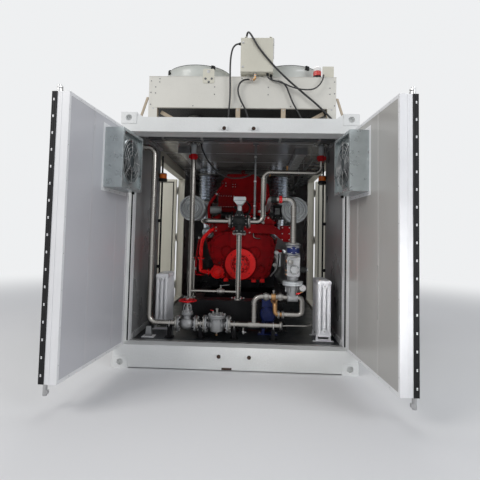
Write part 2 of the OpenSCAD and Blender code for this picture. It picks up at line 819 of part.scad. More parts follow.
module cooling_pipes() {
    foot_z = skid_top;
    color("silver") on_site() {
        bar([water_left, water_y, foot_z + 15], [water_left, water_y, ceiling_z - 16], water_d);
        ceiling_flange(water_left);
        translate([water_left, water_y, foot_z + seat]) cylinder(d = 150, h = 16);
        bar([water_left, water_y, 665], [water_cx, water_y, 665], 42);
        bar([water_cx, water_y, foot_z + 15], [water_cx, water_y, water_z - 138 - seat], water_d);
        translate([water_cx, water_y, foot_z + seat]) cylinder(d = 165, h = 18);
        pipe_run([[water_cx - 105 - seat, water_y, water_z], [-455, water_y, water_z],
            [-455, block_y + 60 - seat, water_z]], water_d, 75);
        pipe_run([[water_cx + 105 + seat, water_y, water_z], [water_right, water_y, water_z],
            [water_right, water_y, 2124], [970, water_y, 2124], [970, water_y, ceiling_z - 16]], water_d, 75);
        ceiling_flange(970);
    }
}

wall_pipe_x = -945;
inlet_z = 2300;
tee_w = 110;

module gas_pipes() {
    color("silver") on_site() {
        pipe_run([[-lining_x + 12, train_y, inlet_z], [wall_pipe_x, train_y, inlet_z], [wall_pipe_x, train_y, run_z],
            [-632 - seat, train_y, run_z]], gas_d, 80);
        translate([-lining_x + seat, train_y, inlet_z]) rotate([0, 90, 0]) cylinder(d = gas_d + 16, h = 20);
        bar([-430, train_y, run_z], [-334, train_y, run_z], gas_d);
        bar([-82, train_y, run_z], [470, train_y, run_z], gas_d);
        bar([130, train_y, run_z], [250, train_y, run_z], gas_d + 16);
        pipe_run([[190, train_y, run_z], [190, train_y, line_z], [stack_x - tee_w / 2, train_y, line_z]], gas_d, 80);
        pipe_run([[stack_x + tee_w / 2, train_y, line_z], [700, train_y, line_z], [700, train_y, 505],
            [500, train_y, 505]], gas_d, 44);
    }
}

stem_d = 22;

module gate_valve() {
    cx = -531;
    color("lightgray") on_site() translate([cx, train_y, run_z]) {
        for (s = [-1, 1]) translate([s * 91, 0, 0]) rotate([0, 90, 0]) cylinder(d = 165, h = 20, center = true);
        rotate([0, 90, 0]) cylinder(d = 90, h = 182, center = true);
        sphere(d = 130);
        cylinder(d = 76, h = 120);
        translate([0, 0, 100]) cylinder(d = 120, h = 24);
        translate([0, 0, 124]) cylinder(d = 54, h = 70);
        cylinder(d = stem_d, h = wheel_z - run_z + 26);
    }
}

module gate_handwheel() {
    cx = -531;
    color("red") on_site() translate([cx, train_y, wheel_z]) difference() {
        union() {
            rotate_extrude() translate([wheel_d / 2 - 10, 0]) circle(d = 20);
            for (a = [0:60:300]) rotate([0, 0, a]) bar([0, 0, 0], [wheel_d / 2 - 10, 0, 0], 12);
            translate([0, 0, -26]) cylinder(d = 44, h = 40);
        }
        translate([0, 0, -30]) cylinder(d = stem_d + 2 * seat, h = 60);
    }
}

module gas_filter() {
    cx = -208;
    color("lightgray") on_site() translate([cx, train_y, run_z]) {
        for (s = [-1, 1]) translate([s * 116, 0, 0]) rotate([0, 90, 0]) cylinder(d = 185, h = 20, center = true);
        rotate([0, 90, 0]) cylinder(d = 90, h = 230, center = true);
        translate([0, 0, -75]) cylinder(d = 150, h = 150);
        translate([0, 0, 75]) cylinder(d = 195, h = 30);
        translate([0, 0, 105]) cylinder(d = 40, h = 50);
    }
}

module gas_valve_stack() {
    color("lightgray") on_site() translate([stack_x, train_y, 0]) {
        translate([0, 0, line_z]) rotate([0, 90, 0]) cylinder(d = 90, h = tee_w - 2 * seat, center = true);
        translate([0, 0, line_z]) cylinder(d1 = 90, d2 = 150, h = 130);
        translate([0, 0, line_z + 130]) cylinder(d = 215, h = 40);
        translate([0, 0, line_z + 170]) cylinder(d = 120, h = 60);
        box([-65, -65, line_z + 230], [65, 65, line_z + 440]);
        translate([0, 0, line_z + 440]) cylinder(d = 140, h = 130);
        translate([0, 0, line_z + 570]) cylinder(d = gas_d, h = 1745 - line_z - 570 - 80);
    }
    color("silver") on_site() pipe_run([[stack_x, train_y, 1660], [stack_x, train_y, 1745],
        [stack_x - 250, train_y, 1745], [stack_x - 250, block_y + 120 - seat, 1745]], gas_d, 80);
}

module circulation_pump() {
    color("midnightblue") on_site() translate([350, 560, 460]) {
        rotate([-90, 0, 0]) cylinder(d = 185, h = 150);
        box([-70, 10, -228], [70, 140, -70]);
        box([-70, 20, 70], [80, 120, 190]);
    }
    color("midnightblue") on_site() {
        pipe_run([[500 - seat, train_y, 505], [415, train_y, 505], [415, train_y, 620], [415, 590, 620]], 50, 45);
        for (x = [440, 480]) translate([x, train_y, 505]) rotate([0, 90, 0]) cylinder(d = 84, h = 18);
    }
}

heater_n = 9;
heater_right_x = 935;
heater_right_y = 310;
heater_p = 46;

// Column heater with its end towards the front
module column_heater() {
    depth = heater_p * (heater_n - 1);
    for (i = [0:heater_n - 1]) box([-72, i * heater_p, 0], [72, i * heater_p + 26, 590]);
    for (z = [60, 530]) translate([0, 5, z]) rotate([-90, 0, 0]) cylinder(d = 46, h = depth + 16);
    for (i = [1, heater_n - 2]) box([-110, i * heater_p + 3, -60], [110, i * heater_p + 23, 12]);
}

module column_heaters() {
    color("white") on_site() {
        translate([-885, 640, floor_z + 60]) column_heater();
        translate([heater_right_x, heater_right_y, floor_z + 60]) column_heater();
    }
}

conduit_x = 173;
lamp_x = 755;

module interior_fittings() {
    color("orange") on_site() for (s = [-1, 1]) translate([s * (lining_x - 62), side_y - 110, 2070]) {
        cylinder(d = 90, h = 70);
        translate([0, 0, -30]) cylinder(d = 100, h = 30);
        box([s > 0 ? 0 : -62, -20, -30], [s > 0 ? 62 : 0, 20, -10]);
    }
    color("gray") on_site() {
        for (x = [-lamp_x, lamp_x]) box([x - 70, 1100, ceiling_z - 60], [x + 70, 2300, ceiling_z]);
        for (y = [520, 600]) box([-lining_x, y, ceiling_z - 40], [lining_x, y + 30, ceiling_z]);
        translate([conduit_x, water_y, water_z + water_d / 2 + seat])
            cylinder(d = 26, h = ceiling_z - water_z - water_d / 2 - seat);
    }
}

module cooler_casing() {
    t = 30;
    x = cooler_w / 2;
    color("whitesmoke") on_site() difference() {
        box([-x, cooler_y, cooler_z], [x, cooler_y1, cooler_top]);
        box([-x + t, cooler_y + t, cooler_z - 1], [x - t, cooler_y1 - t, cooler_top - t]);
        for (y = fan_y) for (s = [-1, 1]) translate([s * fan_x, y, cooler_top - t - 1])
            cylinder(d = shroud_d - 60, h = t + 2);
    }
}

module cooler_frame() {
    x = cooler_w / 2;
    color("antiquewhite") on_site() {
        for (y = [cooler_y, (cooler_y + cooler_y1) / 2 - 35, cooler_y1 - 70]) {
            box([-rail_x + 10, y, rail_top], [rail_x - 10, y + 70, rail_top + 50]);
            both_sides() box([-x, y, rail_top + 50], [-x + 100, y + 70, cooler_z]);
        }
        for (y = [cooler_y, cooler_y1 - 70]) for (cx = [-40, 480])
            box([cx - 25, y, rail_top + 50], [cx + 25, y + 60, cooler_z]);
        for (y = [cooler_y + 90, cooler_y1 - 90]) both_sides()
            strut([-x + 130, y, cooler_z - 30], [-x + 420, y, rail_top + 30], 40);
        for (y = [cooler_y + 8, cooler_y1 - 38]) both_sides()
            strut([-x - 14, y, cooler_z + 120], [-rail_x + 22, y, rail_top + 20], 24);
    }
}

// Square bar from a to b
module strut(a, b, w) {
    along(a, b - a) translate([-w / 2, -w / 2, 0]) cube([w, w, norm(b - a)]);
}

module cooler_coil() {
    x = cooler_w / 2 - 40;
    color("black") on_site() box([-x, cooler_y + 40, cooler_z], [x, cooler_y1 - 40, cooler_z + 160]);
}

module fan_shrouds() {
    color("whitesmoke") on_site() for (y = fan_y) for (s = [-1, 1]) translate([s * fan_x, y, cooler_top]) {
        difference() {
            cylinder(d = shroud_d, h = shroud_h);
            translate([0, 0, -1]) cylinder(d = shroud_d - 30, h = shroud_h + 2);
        }
        translate([0, 0, 25]) cylinder(d = 220, h = 60);
        translate([0, 0, 80]) cylinder(d = 150, h = 90);
        for (a = [0:60:300]) rotate([0, 0, a]) translate([0, 0, 55]) rotate([25, 0, 0])
            box([70, -45, -3], [shroud_d / 2 - 40, 45, 3]);
        for (a = [0:90:270]) rotate([0, 0, a + 30]) box([40, -15, 130], [shroud_d / 2 - 7, 15, 150]);
    }
}

ctrl_x = -18;
ctrl_z = 3190;
ctrl_y = 425;

module control_box() {
    color("ivory") on_site() {
        box([ctrl_x, ctrl_y, ctrl_z], [ctrl_x + ctrl_w, ctrl_y + ctrl_d, ctrl_z + ctrl_h]);
        for (x = [ctrl_x + 60, ctrl_x + ctrl_w - 110])
            box([x, cooler_y + 5, cooler_top], [x + 50, cooler_y + 55, ctrl_z]);
        pipe_run([[150, ctrl_y + 30, ctrl_z], [150, ctrl_y + 30, 3120], [88 + seat, ctrl_y + 30, 3120]], 30, 35);
    }
}

plate_x = cooler_w / 2 - 20;

module roof_fittings() {
    color("ivory") on_site() {
        box([plate_x - 130, cooler_y + 40, cooler_top], [plate_x, cooler_y + 46, cooler_top + 145]);
        translate([plate_x - 205, cooler_y + 60, cooler_top]) cylinder(d = 90, h = 90);
        difference() {
            box([-452, cooler_y - seat - 6, cooler_top - 77], [-320, cooler_y - seat, cooler_top + 90]);
            for (h = [[-423, -18], [-349, -17], [-384, -56], [-388, 64]])
                translate([h[0], cooler_y - 7, cooler_top + h[1]]) rotate([-90, 0, 0]) cylinder(d = 18, h = 8);
        }
    }
}

module cable_left() {
    color("black") on_site() cable(cable_left_pts, 20);
}

module cable_diagonal() {
    color("black") on_site() cable(cable_diagonal_pts, 22);
}

module cable_loop() {
    color("black") on_site() cable(cable_loop_pts, 20);
}

module cable_box() {
    color("black") on_site() cable(cable_box_pts, 18);
}

module cable_beacon() {
    color("black") on_site() cable(cable_beacon_pts, 16);
}

module cable_ceiling() {
    color("black") on_site() cable(cable_ceiling_pts, 20);
}

front_sill();
front_header();
rear_frame();
left_front_post();
right_front_post();
base_frame();
floor_plate();
top_rails();
roof_panel();
left_wall_front();
left_wall_rear();
left_doorway();
right_wall_front();
right_wall_rear();
right_doorway();
rear_wall();
left_door_leaf();
left_door_gasket();
left_door_lock();
left_fan_box();
right_door_leaf();
right_door_gasket();
right_door_lock();
right_fan_box();
left_side_door_near();
left_side_door_far();
right_side_door_near();
right_side_door_far();
engine_skid();
engine_block();
gear_cover();
crank_damper();
cylinder_banks();
intake_housing();
water_pump();
air_filters();
exhaust_bellows();
alternator();
three_way_valve();
cooling_pipes();
gas_pipes();
gate_valve();
gate_handwheel();
gas_filter();
gas_valve_stack();
circulation_pump();
column_heaters();
interior_fittings();
cooler_casing();
cooler_frame();
cooler_coil();
fan_shrouds();
control_box();
roof_fittings();
cable_left();
cable_diagonal();
cable_loop();
cable_box();
cable_beacon();
cable_ceiling();
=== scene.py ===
import math
import bmesh
import bpy
from mathutils import Matrix, Vector


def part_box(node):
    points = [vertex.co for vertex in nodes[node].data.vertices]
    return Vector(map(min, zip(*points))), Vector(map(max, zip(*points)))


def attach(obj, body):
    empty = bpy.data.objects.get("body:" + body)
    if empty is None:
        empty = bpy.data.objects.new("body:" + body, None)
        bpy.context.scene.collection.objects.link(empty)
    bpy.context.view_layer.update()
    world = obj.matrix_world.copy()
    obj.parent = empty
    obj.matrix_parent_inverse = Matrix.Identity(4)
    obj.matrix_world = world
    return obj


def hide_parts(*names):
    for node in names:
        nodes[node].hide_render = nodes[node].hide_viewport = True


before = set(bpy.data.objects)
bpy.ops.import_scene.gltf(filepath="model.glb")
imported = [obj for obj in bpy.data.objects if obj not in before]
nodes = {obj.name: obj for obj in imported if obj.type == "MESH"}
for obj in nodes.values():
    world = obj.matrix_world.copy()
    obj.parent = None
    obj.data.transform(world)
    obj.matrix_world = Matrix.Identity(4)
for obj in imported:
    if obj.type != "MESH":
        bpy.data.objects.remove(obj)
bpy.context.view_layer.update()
scene = bpy.context.scene

# Places are in millimetres from the middle of the container's front, as in the source
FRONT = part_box("floor_plate")[0][1] - 0.230
TO_ROW = Matrix.Translation((0, FRONT, 0)) @ Matrix.Diagonal((0.001, 0.001, 0.001, 1))
DOOR_OPEN = math.radians(95)
LINING_X = 1100
INSIDE_Y0, DOORWAY_Y0, DOORWAY_Y1, INSIDE_Y1 = 231, 1255, 3183, 5918
CEILING_Z = 2480
FLOOR_Z = 232
CASTING_X = 1057
RIGHT, BACK, UP = (1, 0, 0), (0, 1, 0), (0, 0, 1)
LEFT, FORE, DOWN = (-1, 0, 0), (0, -1, 0), (0, 0, -1)


def row(p):
    """A place in container millimetres as one in the shared frame."""
    return TO_ROW @ Vector(p)


# Camera: place in metres, turns in degrees, and its lens in picture points
EYE = (0.1924, -4.0832 + FRONT, 1.3223)
YAW, PITCH, ROLL = 2.271, 3.293, -1.262
PICTURE, FOCAL, SHIFT, SENSOR = 480, 406.9, -26, 36

cam = bpy.data.objects.new("camera", bpy.data.cameras.new("camera"))
scene.collection.objects.link(cam)
turn = Matrix.Identity(3)
for degrees, about in ((YAW, "Z"), (PITCH, "X"), (ROLL, "Y")):
    turn = turn @ Matrix.Rotation(math.radians(degrees), 3, about)
right, ahead, up = turn.col
cam.matrix_world = Matrix.Translation(EYE) @ Matrix((right, up, -ahead)).transposed().to_4x4()
cam.data.sensor_width = SENSOR
cam.data.lens = FOCAL / PICTURE * SENSOR
cam.data.shift_y = SHIFT / PICTURE
cam.data.clip_end = 200
scene.camera = cam


# Materials
class Nodes:
    """Small helper that wires shader nodes of one material."""

    def __init__(self, name):
        self.mat = bpy.data.materials.new(name)
        self.mat.use_nodes = True
        self.tree = self.mat.node_tree
        self.bsdf = self.tree.nodes["Principled BSDF"]
        self.coord = self.tree.nodes.new("ShaderNodeTexCoord").outputs["Object"]

    def node(self, kind, **inputs):
        """A new node with its inputs set or linked."""
        n = self.tree.nodes.new(kind)
        for key, value in inputs.items():
            self.put(n.inputs[key.replace("_", " ")], value)
        return n

    def put(self, socket, value):
        """Links a socket to another, or sets its value."""
        if isinstance(value, bpy.types.NodeSocket):
            self.tree.links.new(value, socket)
        else:
            socket.default_value = value

    def math(self, op, a, b=0.0, c=0.0):
        """One step of arithmetic."""
        n = self.tree.nodes.new("ShaderNodeMath")
        n.operation = op
        for socket, value in zip(n.inputs, (a, b, c)):
            self.put(socket, value)
        return n.outputs[0]

    def noise(self, scale, detail=3.0, stretch=None):
        """Noise in the object's own space, stretched where asked."""
        n = self.node("ShaderNodeTexNoise", Scale=scale, Detail=detail)
        vector = self.coord
        if stretch:
            m = self.node("ShaderNodeMapping", Vector=self.coord)
            m.inputs["Scale"].default_value = stretch
            vector = m.outputs[0]
        self.put(n.inputs["Vector"], vector)
        return n.outputs["Fac"]

    def ramp(self, fac, low, high, at=(0.35, 0.65)):
        """Two colours over a factor."""
        n = self.node("ShaderNodeValToRGB", Fac=fac)
        for el, pos, col in zip(n.color_ramp.elements, at, (low, high)):
            el.position = pos
            el.color = (*col, 1)
        return n.outputs["Color"]

    def mix(self, fac, a, b):
        """From colour a to colour b by a factor."""
        n = self.tree.nodes.new("ShaderNodeMix")
        n.data_type = "RGBA"
        self.put(n.inputs["Factor"], fac)
        self.put(n.inputs["A"], a if isinstance(a, bpy.types.NodeSocket) else (*a, 1))
        self.put(n.inputs["B"], b if isinstance(b, bpy.types.NodeSocket) else (*b, 1))
        return n.outputs["Result"]

    def range(self, fac, low, high):
        """The middle of a noise spread from low to high."""
        n = self.tree.nodes.new("ShaderNodeMapRange")
        self.put(n.inputs["Value"], fac)
        n.inputs["From Min"].default_value, n.inputs["From Max"].default_value = 0.3, 0.7
        n.inputs["To Min"].default_value, n.inputs["To Max"].default_value = low, high
        return n.outputs[0]

    def bump(self, height, distance, strength=1.0, normal=None):
        """Normals of a height, over those given."""
        n = self.node("ShaderNodeBump", Height=height, Distance=distance, Strength=strength)
        if normal:
            self.put(n.inputs["Normal"], normal)
        return n.outputs[0]

    def axis(self, i):
        """One coordinate of the object's own space."""
        n = self.node("ShaderNodeSeparateXYZ", Vector=self.coord)
        return n.outputs[i]


def shade(rgb, k):
    """The colour made k times as light."""
    return tuple(min(1.0, c * k) for c in rgb)


MATS = {}


def finish_of(name, rgb, rough=0.4, metal=0.0, vary=0.08, scale=6.0, grain=900.0, bump=0.00015, coat=0.0,
        dirt=0.0, dirt_rgb=(0.16, 0.13, 0.10), seams=None, stretch=None, spec=None, dark=(), painted_crevice_shade=0.0):
    """A painted, cast or bare surface: uneven tone, fine grain, dirt in patches and, where asked, painted shade
    in crevices and seams.
    """
    g = Nodes(name)
    tone = g.noise(scale, 4.0, stretch)
    colour = g.ramp(tone, shade(rgb, 1 - vary), shade(rgb, 1 + vary))
    if dirt:
        patches = g.math("MULTIPLY", g.range(g.noise(scale * 0.6, 8.0), 0.0, 1.0),
                g.range(g.noise(70.0, 6.0), 0.0, 1.0))
        colour = g.mix(g.math("MULTIPLY", patches, dirt), colour, dirt_rgb)
    # painted shade: crevices and inner corners darkened from ambient occlusion within this distance, towards a
    # fifth of the colour
    if painted_crevice_shade:
        near = g.node("ShaderNodeAmbientOcclusion", Distance=painted_crevice_shade)
        near.samples = 8
        clear = g.node("ShaderNodeMapRange", Value=near.outputs["AO"])
        clear.inputs["From Min"].default_value, clear.inputs["From Max"].default_value = 0.45, 0.92
        colour = g.mix(clear.outputs[0], shade(rgb, 0.22), colour)
    height = g.noise(grain, 2.0, stretch)
    normal = g.bump(height, bump, 0.6)
    if seams:
        axis, pitch, start, width = seams
        t = g.math("FRACT", g.math("DIVIDE", g.math("SUBTRACT", g.axis(axis), start), pitch))
        line = g.math("LESS_THAN", t, width / pitch)
        colour = g.mix(g.math("MULTIPLY", line, 0.55), colour, shade(rgb, 0.45))
        normal = g.bump(line, -0.0012, 0.8, normal)
    for (x0, x1), (y0, y1), (z0, z1) in dark:
        inner = 1.0
        for axis, low, high in ((0, x0, x1), (1, y0, y1), (2, z0, z1)):
            inner = g.math("MULTIPLY", inner, g.math("GREATER_THAN", g.axis(axis), low))
            inner = g.math("MULTIPLY", inner, g.math("LESS_THAN", g.axis(axis), high))
        colour = g.mix(inner, colour, (0.008, 0.008, 0.009))
    g.put(g.bsdf.inputs["Base Color"], colour)
    g.put(g.bsdf.inputs["Roughness"], g.range(tone, rough * 0.85, rough * 1.15))
    g.put(g.bsdf.inputs["Normal"], normal)
    g.bsdf.inputs["Metallic"].default_value = metal
    g.bsdf.inputs["Coat Weight"].default_value = coat
    g.bsdf.inputs["Coat Roughness"].default_value = 0.12
    if spec is not None:
        g.bsdf.inputs["Specular IOR Level"].default_value = spec
    MATS[name] = g.mat


finish_of("white_paint", (0.74, 0.75, 0.74), 0.42, vary=0.03, scale=2.5, grain=500, bump=0.0002, dirt=0.10)
finish_of("white_trim", (0.82, 0.82, 0.83), 0.35, vary=0.02, grain=400)
# one white-grey door lining in two copies: the left leaf's is painted lighter as painted light, the right leaf's
# darker as painted shade
finish_of("lining_left", (0.56, 0.56, 0.59), 0.34, vary=0.03, scale=1.2, grain=700, bump=0.0001, coat=0.25)
finish_of("lining_right", (0.44, 0.43, 0.41), 0.34, vary=0.03, scale=1.2, grain=700, bump=0.0001, coat=0.25)
finish_of("wall_lining", (0.24, 0.24, 0.24), 0.30, vary=0.05, scale=1.5, grain=600, bump=0.0001, coat=0.2,
        seams=(1, 0.95, FRONT + 0.6, 0.006))
# their joint strips, with the same painted light on the left and painted shade on the right
finish_of("lining_left_strip", (0.56, 0.555, 0.58), 0.30, vary=0.03, scale=2, grain=600, bump=0.0001, coat=0.3)
finish_of("lining_right_strip", (0.50, 0.49, 0.47), 0.30, vary=0.03, scale=2, grain=600, bump=0.0001, coat=0.3)
finish_of("wall_strip", (0.36, 0.36, 0.36), 0.28, vary=0.05, scale=3, grain=600, bump=0.0001, coat=0.3)
finish_of("ceiling_lining", (0.24, 0.23, 0.22), 0.22, vary=0.06, scale=2.0, grain=500, coat=0.3,
        seams=(1, 0.60, FRONT + 0.35, 0.006))
finish_of("seal_rubber", (0.012, 0.012, 0.013), 0.62, vary=0.25, scale=14, grain=350, bump=0.0004, spec=0.25)
finish_of("zinc_steel", (0.50, 0.50, 0.50), 0.36, metal=0.85, vary=0.12, scale=20, grain=260)
finish_of("duct_sheet", (0.42, 0.46, 0.465), 0.30, metal=0.6, vary=0.07, scale=16, grain=180,
        bump=0.0001, coat=0.2)
finish_of("duct_dark", (0.060, 0.075, 0.080), 0.45, metal=0.3, vary=0.15, scale=9)
finish_of("cream_paint", (0.62, 0.60, 0.51), 0.42, vary=0.03, scale=3, grain=420, dirt=0.06)
finish_of("skid_black", (0.008, 0.008, 0.009), 0.50, vary=0.3, scale=8, grain=240, bump=0.0004, dirt=0.12,
        dirt_rgb=(0.04, 0.036, 0.03), spec=0.08)
# the red engine finishes carry painted shade in their crevices
ENGINE = dict(rgb=(0.22, 0.003, 0.005), rough=0.40, vary=0.16, scale=7, grain=170, bump=0.0009, dirt=0.2,
              dirt_rgb=(0.04, 0.004, 0.004), spec=0.05, painted_crevice_shade=0.05)
finish_of("engine_red", **ENGINE)
# the block with its black sump and front feet
finish_of("block_red", **ENGINE, dark=(((-0.9, 0.9), (FRONT + 1.5, FRONT + 4.2), (0.2, 0.722)),
                                       ((-0.6, -0.335), (FRONT + 1.5, FRONT + 2.4), (0.7, 0.985)),
                                       ((0.30, 0.6), (FRONT + 1.5, FRONT + 2.4), (0.7, 0.985))))
# pump_red and filter_grey also carry painted shade in their crevices
finish_of("pump_red", (0.64, 0.010, 0.010), 0.34, vary=0.10, scale=9, grain=170, bump=0.0006,
        spec=0.14, painted_crevice_shade=0.05)
finish_of("filter_grey", (0.40, 0.425, 0.44), 0.42, vary=0.06, scale=9, grain=300, coat=0.1, painted_crevice_shade=0.05)
finish_of("bellows_steel", (0.52, 0.56, 0.62), 0.26, metal=0.9, vary=0.12, scale=14, stretch=(1, 1, 5))
finish_of("stainless", (0.36, 0.345, 0.32), 0.24, metal=1.0, vary=0.07, scale=12, grain=240, bump=0.0001,
        stretch=(1, 1, 0.25))
finish_of("cast_flange", (0.38, 0.37, 0.35), 0.34, metal=1.0, vary=0.10, scale=22, grain=200, bump=0.0004)
finish_of("valve_black", (0.012, 0.013, 0.013), 0.42, vary=0.3, scale=18, grain=200, bump=0.0006, spec=0.15)
# valve_silver carries painted shade in its crevices
finish_of("valve_silver", (0.31, 0.315, 0.32), 0.38, metal=0.55, vary=0.07, scale=16, grain=170,
        bump=0.0008, painted_crevice_shade=0.05)
finish_of("wheel_red", (0.45, 0.012, 0.016), 0.40, vary=0.12, scale=22, grain=260, bump=0.0004,
        coat=0.05, spec=0.12)
finish_of("blue_paint", (0.005, 0.011, 0.062), 0.40, vary=0.2, scale=18, grain=220, bump=0.0005, spec=0.2)
finish_of("brass", (0.48, 0.27, 0.12), 0.34, metal=0.9, vary=0.15, scale=30)
finish_of("heater_white", (0.74, 0.74, 0.76), 0.30, vary=0.02, scale=5, coat=0.3)
finish_of("lamp_orange", (0.80, 0.16, 0.010), 0.25, vary=0.10, scale=40, coat=0.4)
finish_of("lamp_red", (0.62, 0.030, 0.022), 0.22, vary=0.10, scale=40, coat=0.5)
finish_of("lamp_clear", (0.78, 0.76, 0.74), 0.12, vary=0.03, scale=30, coat=0.6)
finish_of("cooler_paint", (0.67, 0.655, 0.60), 0.46, vary=0.03, scale=2.5, grain=420, dirt=0.08)
finish_of("shroud_paint", (0.55, 0.57, 0.54), 0.34, vary=0.04, scale=4, coat=0.3)
finish_of("brace_beige", (0.47, 0.39, 0.29), 0.52, vary=0.10, scale=10, dirt=0.2)
finish_of("alternator_grey", (0.035, 0.042, 0.045), 0.45, vary=0.15, scale=8)
finish_of("cable_black", (0.011, 0.011, 0.012), 0.45, vary=0.25, scale=30, grain=300, bump=0.0003)
finish_of("rust_dark", (0.055, 0.030, 0.020), 0.8, vary=0.5, scale=60, grain=90, bump=0.001)
finish_of("dial_white", (0.80, 0.80, 0.78), 0.3, vary=0.02, scale=40)
finish_of("trunking_grey", (0.16, 0.165, 0.17), 0.34, metal=0.5, vary=0.10, scale=12)
finish_of("lamp_lens", (0.50, 0.51, 0.50), 0.25, vary=0.04, scale=20, coat=0.3)


def chequer_plate():
    """Tear plate: raised bars that alternate between two directions, on dark worn steel."""
    g = Nodes("floor_plate")
    pitch = 0.040
    x, y = g.axis(0), g.axis(1)
    u = g.math("DIVIDE", g.math("ADD", x, y), pitch * 1.414)
    v = g.math("DIVIDE", g.math("SUBTRACT", x, y), pitch * 1.414)
    odd = g.math("MODULO", g.math("ABSOLUTE", g.math("ADD", g.math("FLOOR", u), g.math("FLOOR", v))), 2.0)
    fu = g.math("SUBTRACT", g.math("FRACT", u), 0.5)
    fv = g.math("SUBTRACT", g.math("FRACT", v), 0.5)
    swap = g.math("SUBTRACT", fv, fu)
    a = g.math("MULTIPLY_ADD", swap, odd, fu)
    b = g.math("SUBTRACT", fv, g.math("MULTIPLY", swap, odd))
    r = g.math("SQRT", g.math("ADD", g.math("POWER", g.math("DIVIDE", a, 0.52), 2.0),
            g.math("POWER", g.math("DIVIDE", b, 0.13), 2.0)))
    bar = g.math("SUBTRACT", 1.0, g.math("SMOOTH_MIN", r, 1.0, 0.3))
    tone = g.noise(5.0, 5.0)
    colour = g.mix(bar, g.ramp(tone, (0.020, 0.024, 0.028), (0.042, 0.048, 0.055)), (0.085, 0.095, 0.105))
    g.put(g.bsdf.inputs["Base Color"], colour)
    g.put(g.bsdf.inputs["Roughness"], g.range(tone, 0.26, 0.42))
    g.put(g.bsdf.inputs["Normal"], g.bump(bar, 0.0015, 0.9))
    g.bsdf.inputs["Metallic"].default_value = 0.6
    MATS["floor_plate"] = g.mat


def coil_black():
    """Close fins seen edge on, over dark tubes."""
    g = Nodes("coil_black")
    fins = g.math("FRACT", g.math("MULTIPLY", g.axis(0), 160.0))
    rows = g.math("FRACT", g.math("MULTIPLY", g.axis(1), 16.0))
    height = g.math("ADD", fins, g.math("MULTIPLY", rows, 0.5))
    g.put(g.bsdf.inputs["Base Color"], g.ramp(height, (0.004, 0.004, 0.005), (0.020, 0.020, 0.021), (0.2, 0.9)))
    g.put(g.bsdf.inputs["Normal"], g.bump(height, 0.003, 1.0))
    g.bsdf.inputs["Roughness"].default_value = 0.6
    MATS["coil_black"] = g.mat


chequer_plate()
coil_black()


# Shapes
def unit(v):
    """The direction of v."""
    return Vector(v).normalized()


def around(n, turn=0.0, first=0.0):
    """Cosine and sine of n equal steps round a circle."""
    angles = [2 * math.pi * (k + first) / n + turn for k in range(n)]
    return [(math.cos(t), math.sin(t)) for t in angles]


def pairs(a, b):
    """Every item of a with every item of b."""
    return [(p, q) for p in a for q in b]


def rect(x0, y0, x1, y1):
    """Outline of an upright rectangle between two corners."""
    return [(x0, y0), (x1, y0), (x1, y1), (x0, y1)]


def rounded(points, r, steps=4):
    """Outline with its corners rounded by about r."""
    out = []
    for i, p in enumerate(points):
        p = Vector(p)
        a, b = Vector(points[i - 1]) - p, Vector(points[(i + 1) % len(points)]) - p
        a, b = a.normalized() * min(r, a.length * 0.45), b.normalized() * min(r, b.length * 0.45)
        for k in range(steps + 1):
            t = k / steps
            out.append(tuple(p + a * (1 - t) ** 2 + b * t ** 2))
    return out


def inset(points, d):
    """Outline drawn in towards its middle by about d."""
    mid = sum((Vector(p) for p in points), Vector((0, 0))) / len(points)
    return [tuple(Vector(p) + (mid - Vector(p)).normalized() * d) for p in points]


def mirrored(half, w):
    """Profile of width w whose second half mirrors the first."""
    return half + [(r, w - t) for r, t in reversed(half) if 2 * t < w]


def both_sides(right):
    """Outline whose left side mirrors the right one, which is listed upwards."""
    left = [(-x, y) for x, y in reversed(right)]
    return left[-1:] + right + left[:-1]


def collar(r, rim, edge, w):
    """Profile of a round collar of width w whose edges are broken."""
    return [(r, 0), (rim, edge), (rim, w - edge), (r, w)]


def spread(points, pitch):
    """Places at about equal steps round a closed outline."""
    edges = [(Vector(points[i - 1]), Vector(points[i])) for i in range(len(points))]
    total = sum((b - a).length for a, b in edges)
    count = round(total / pitch)
    out, walked, k = [], 0.0, 0
    for a, b in edges:
        size = (b - a).length
        while k < count and k * total / count <= walked + size:
            out.append(a.lerp(b, (k * total / count - walked) / size if size else 0))
            k += 1
        walked += size
    return out


def across(v):
    """Two directions at right angles to v."""
    v = unit(v)
    x = Vector(RIGHT) if abs(v.z) > 0.9 else Vector(UP).cross(v).normalized()
    return x, v.cross(x)


BEND_STEPS = 8
SHARP, BEVEL_ANGLE = math.radians(32), math.radians(40)


def bevel_edges(ob, width, segments):
    """Rounds the edges of an object by width millimetres."""
    mod = ob.modifiers.new("edges", "BEVEL")
    mod.width, mod.segments, mod.limit_method, mod.angle_limit = width / 1000, segments, "ANGLE", BEVEL_ANGLE


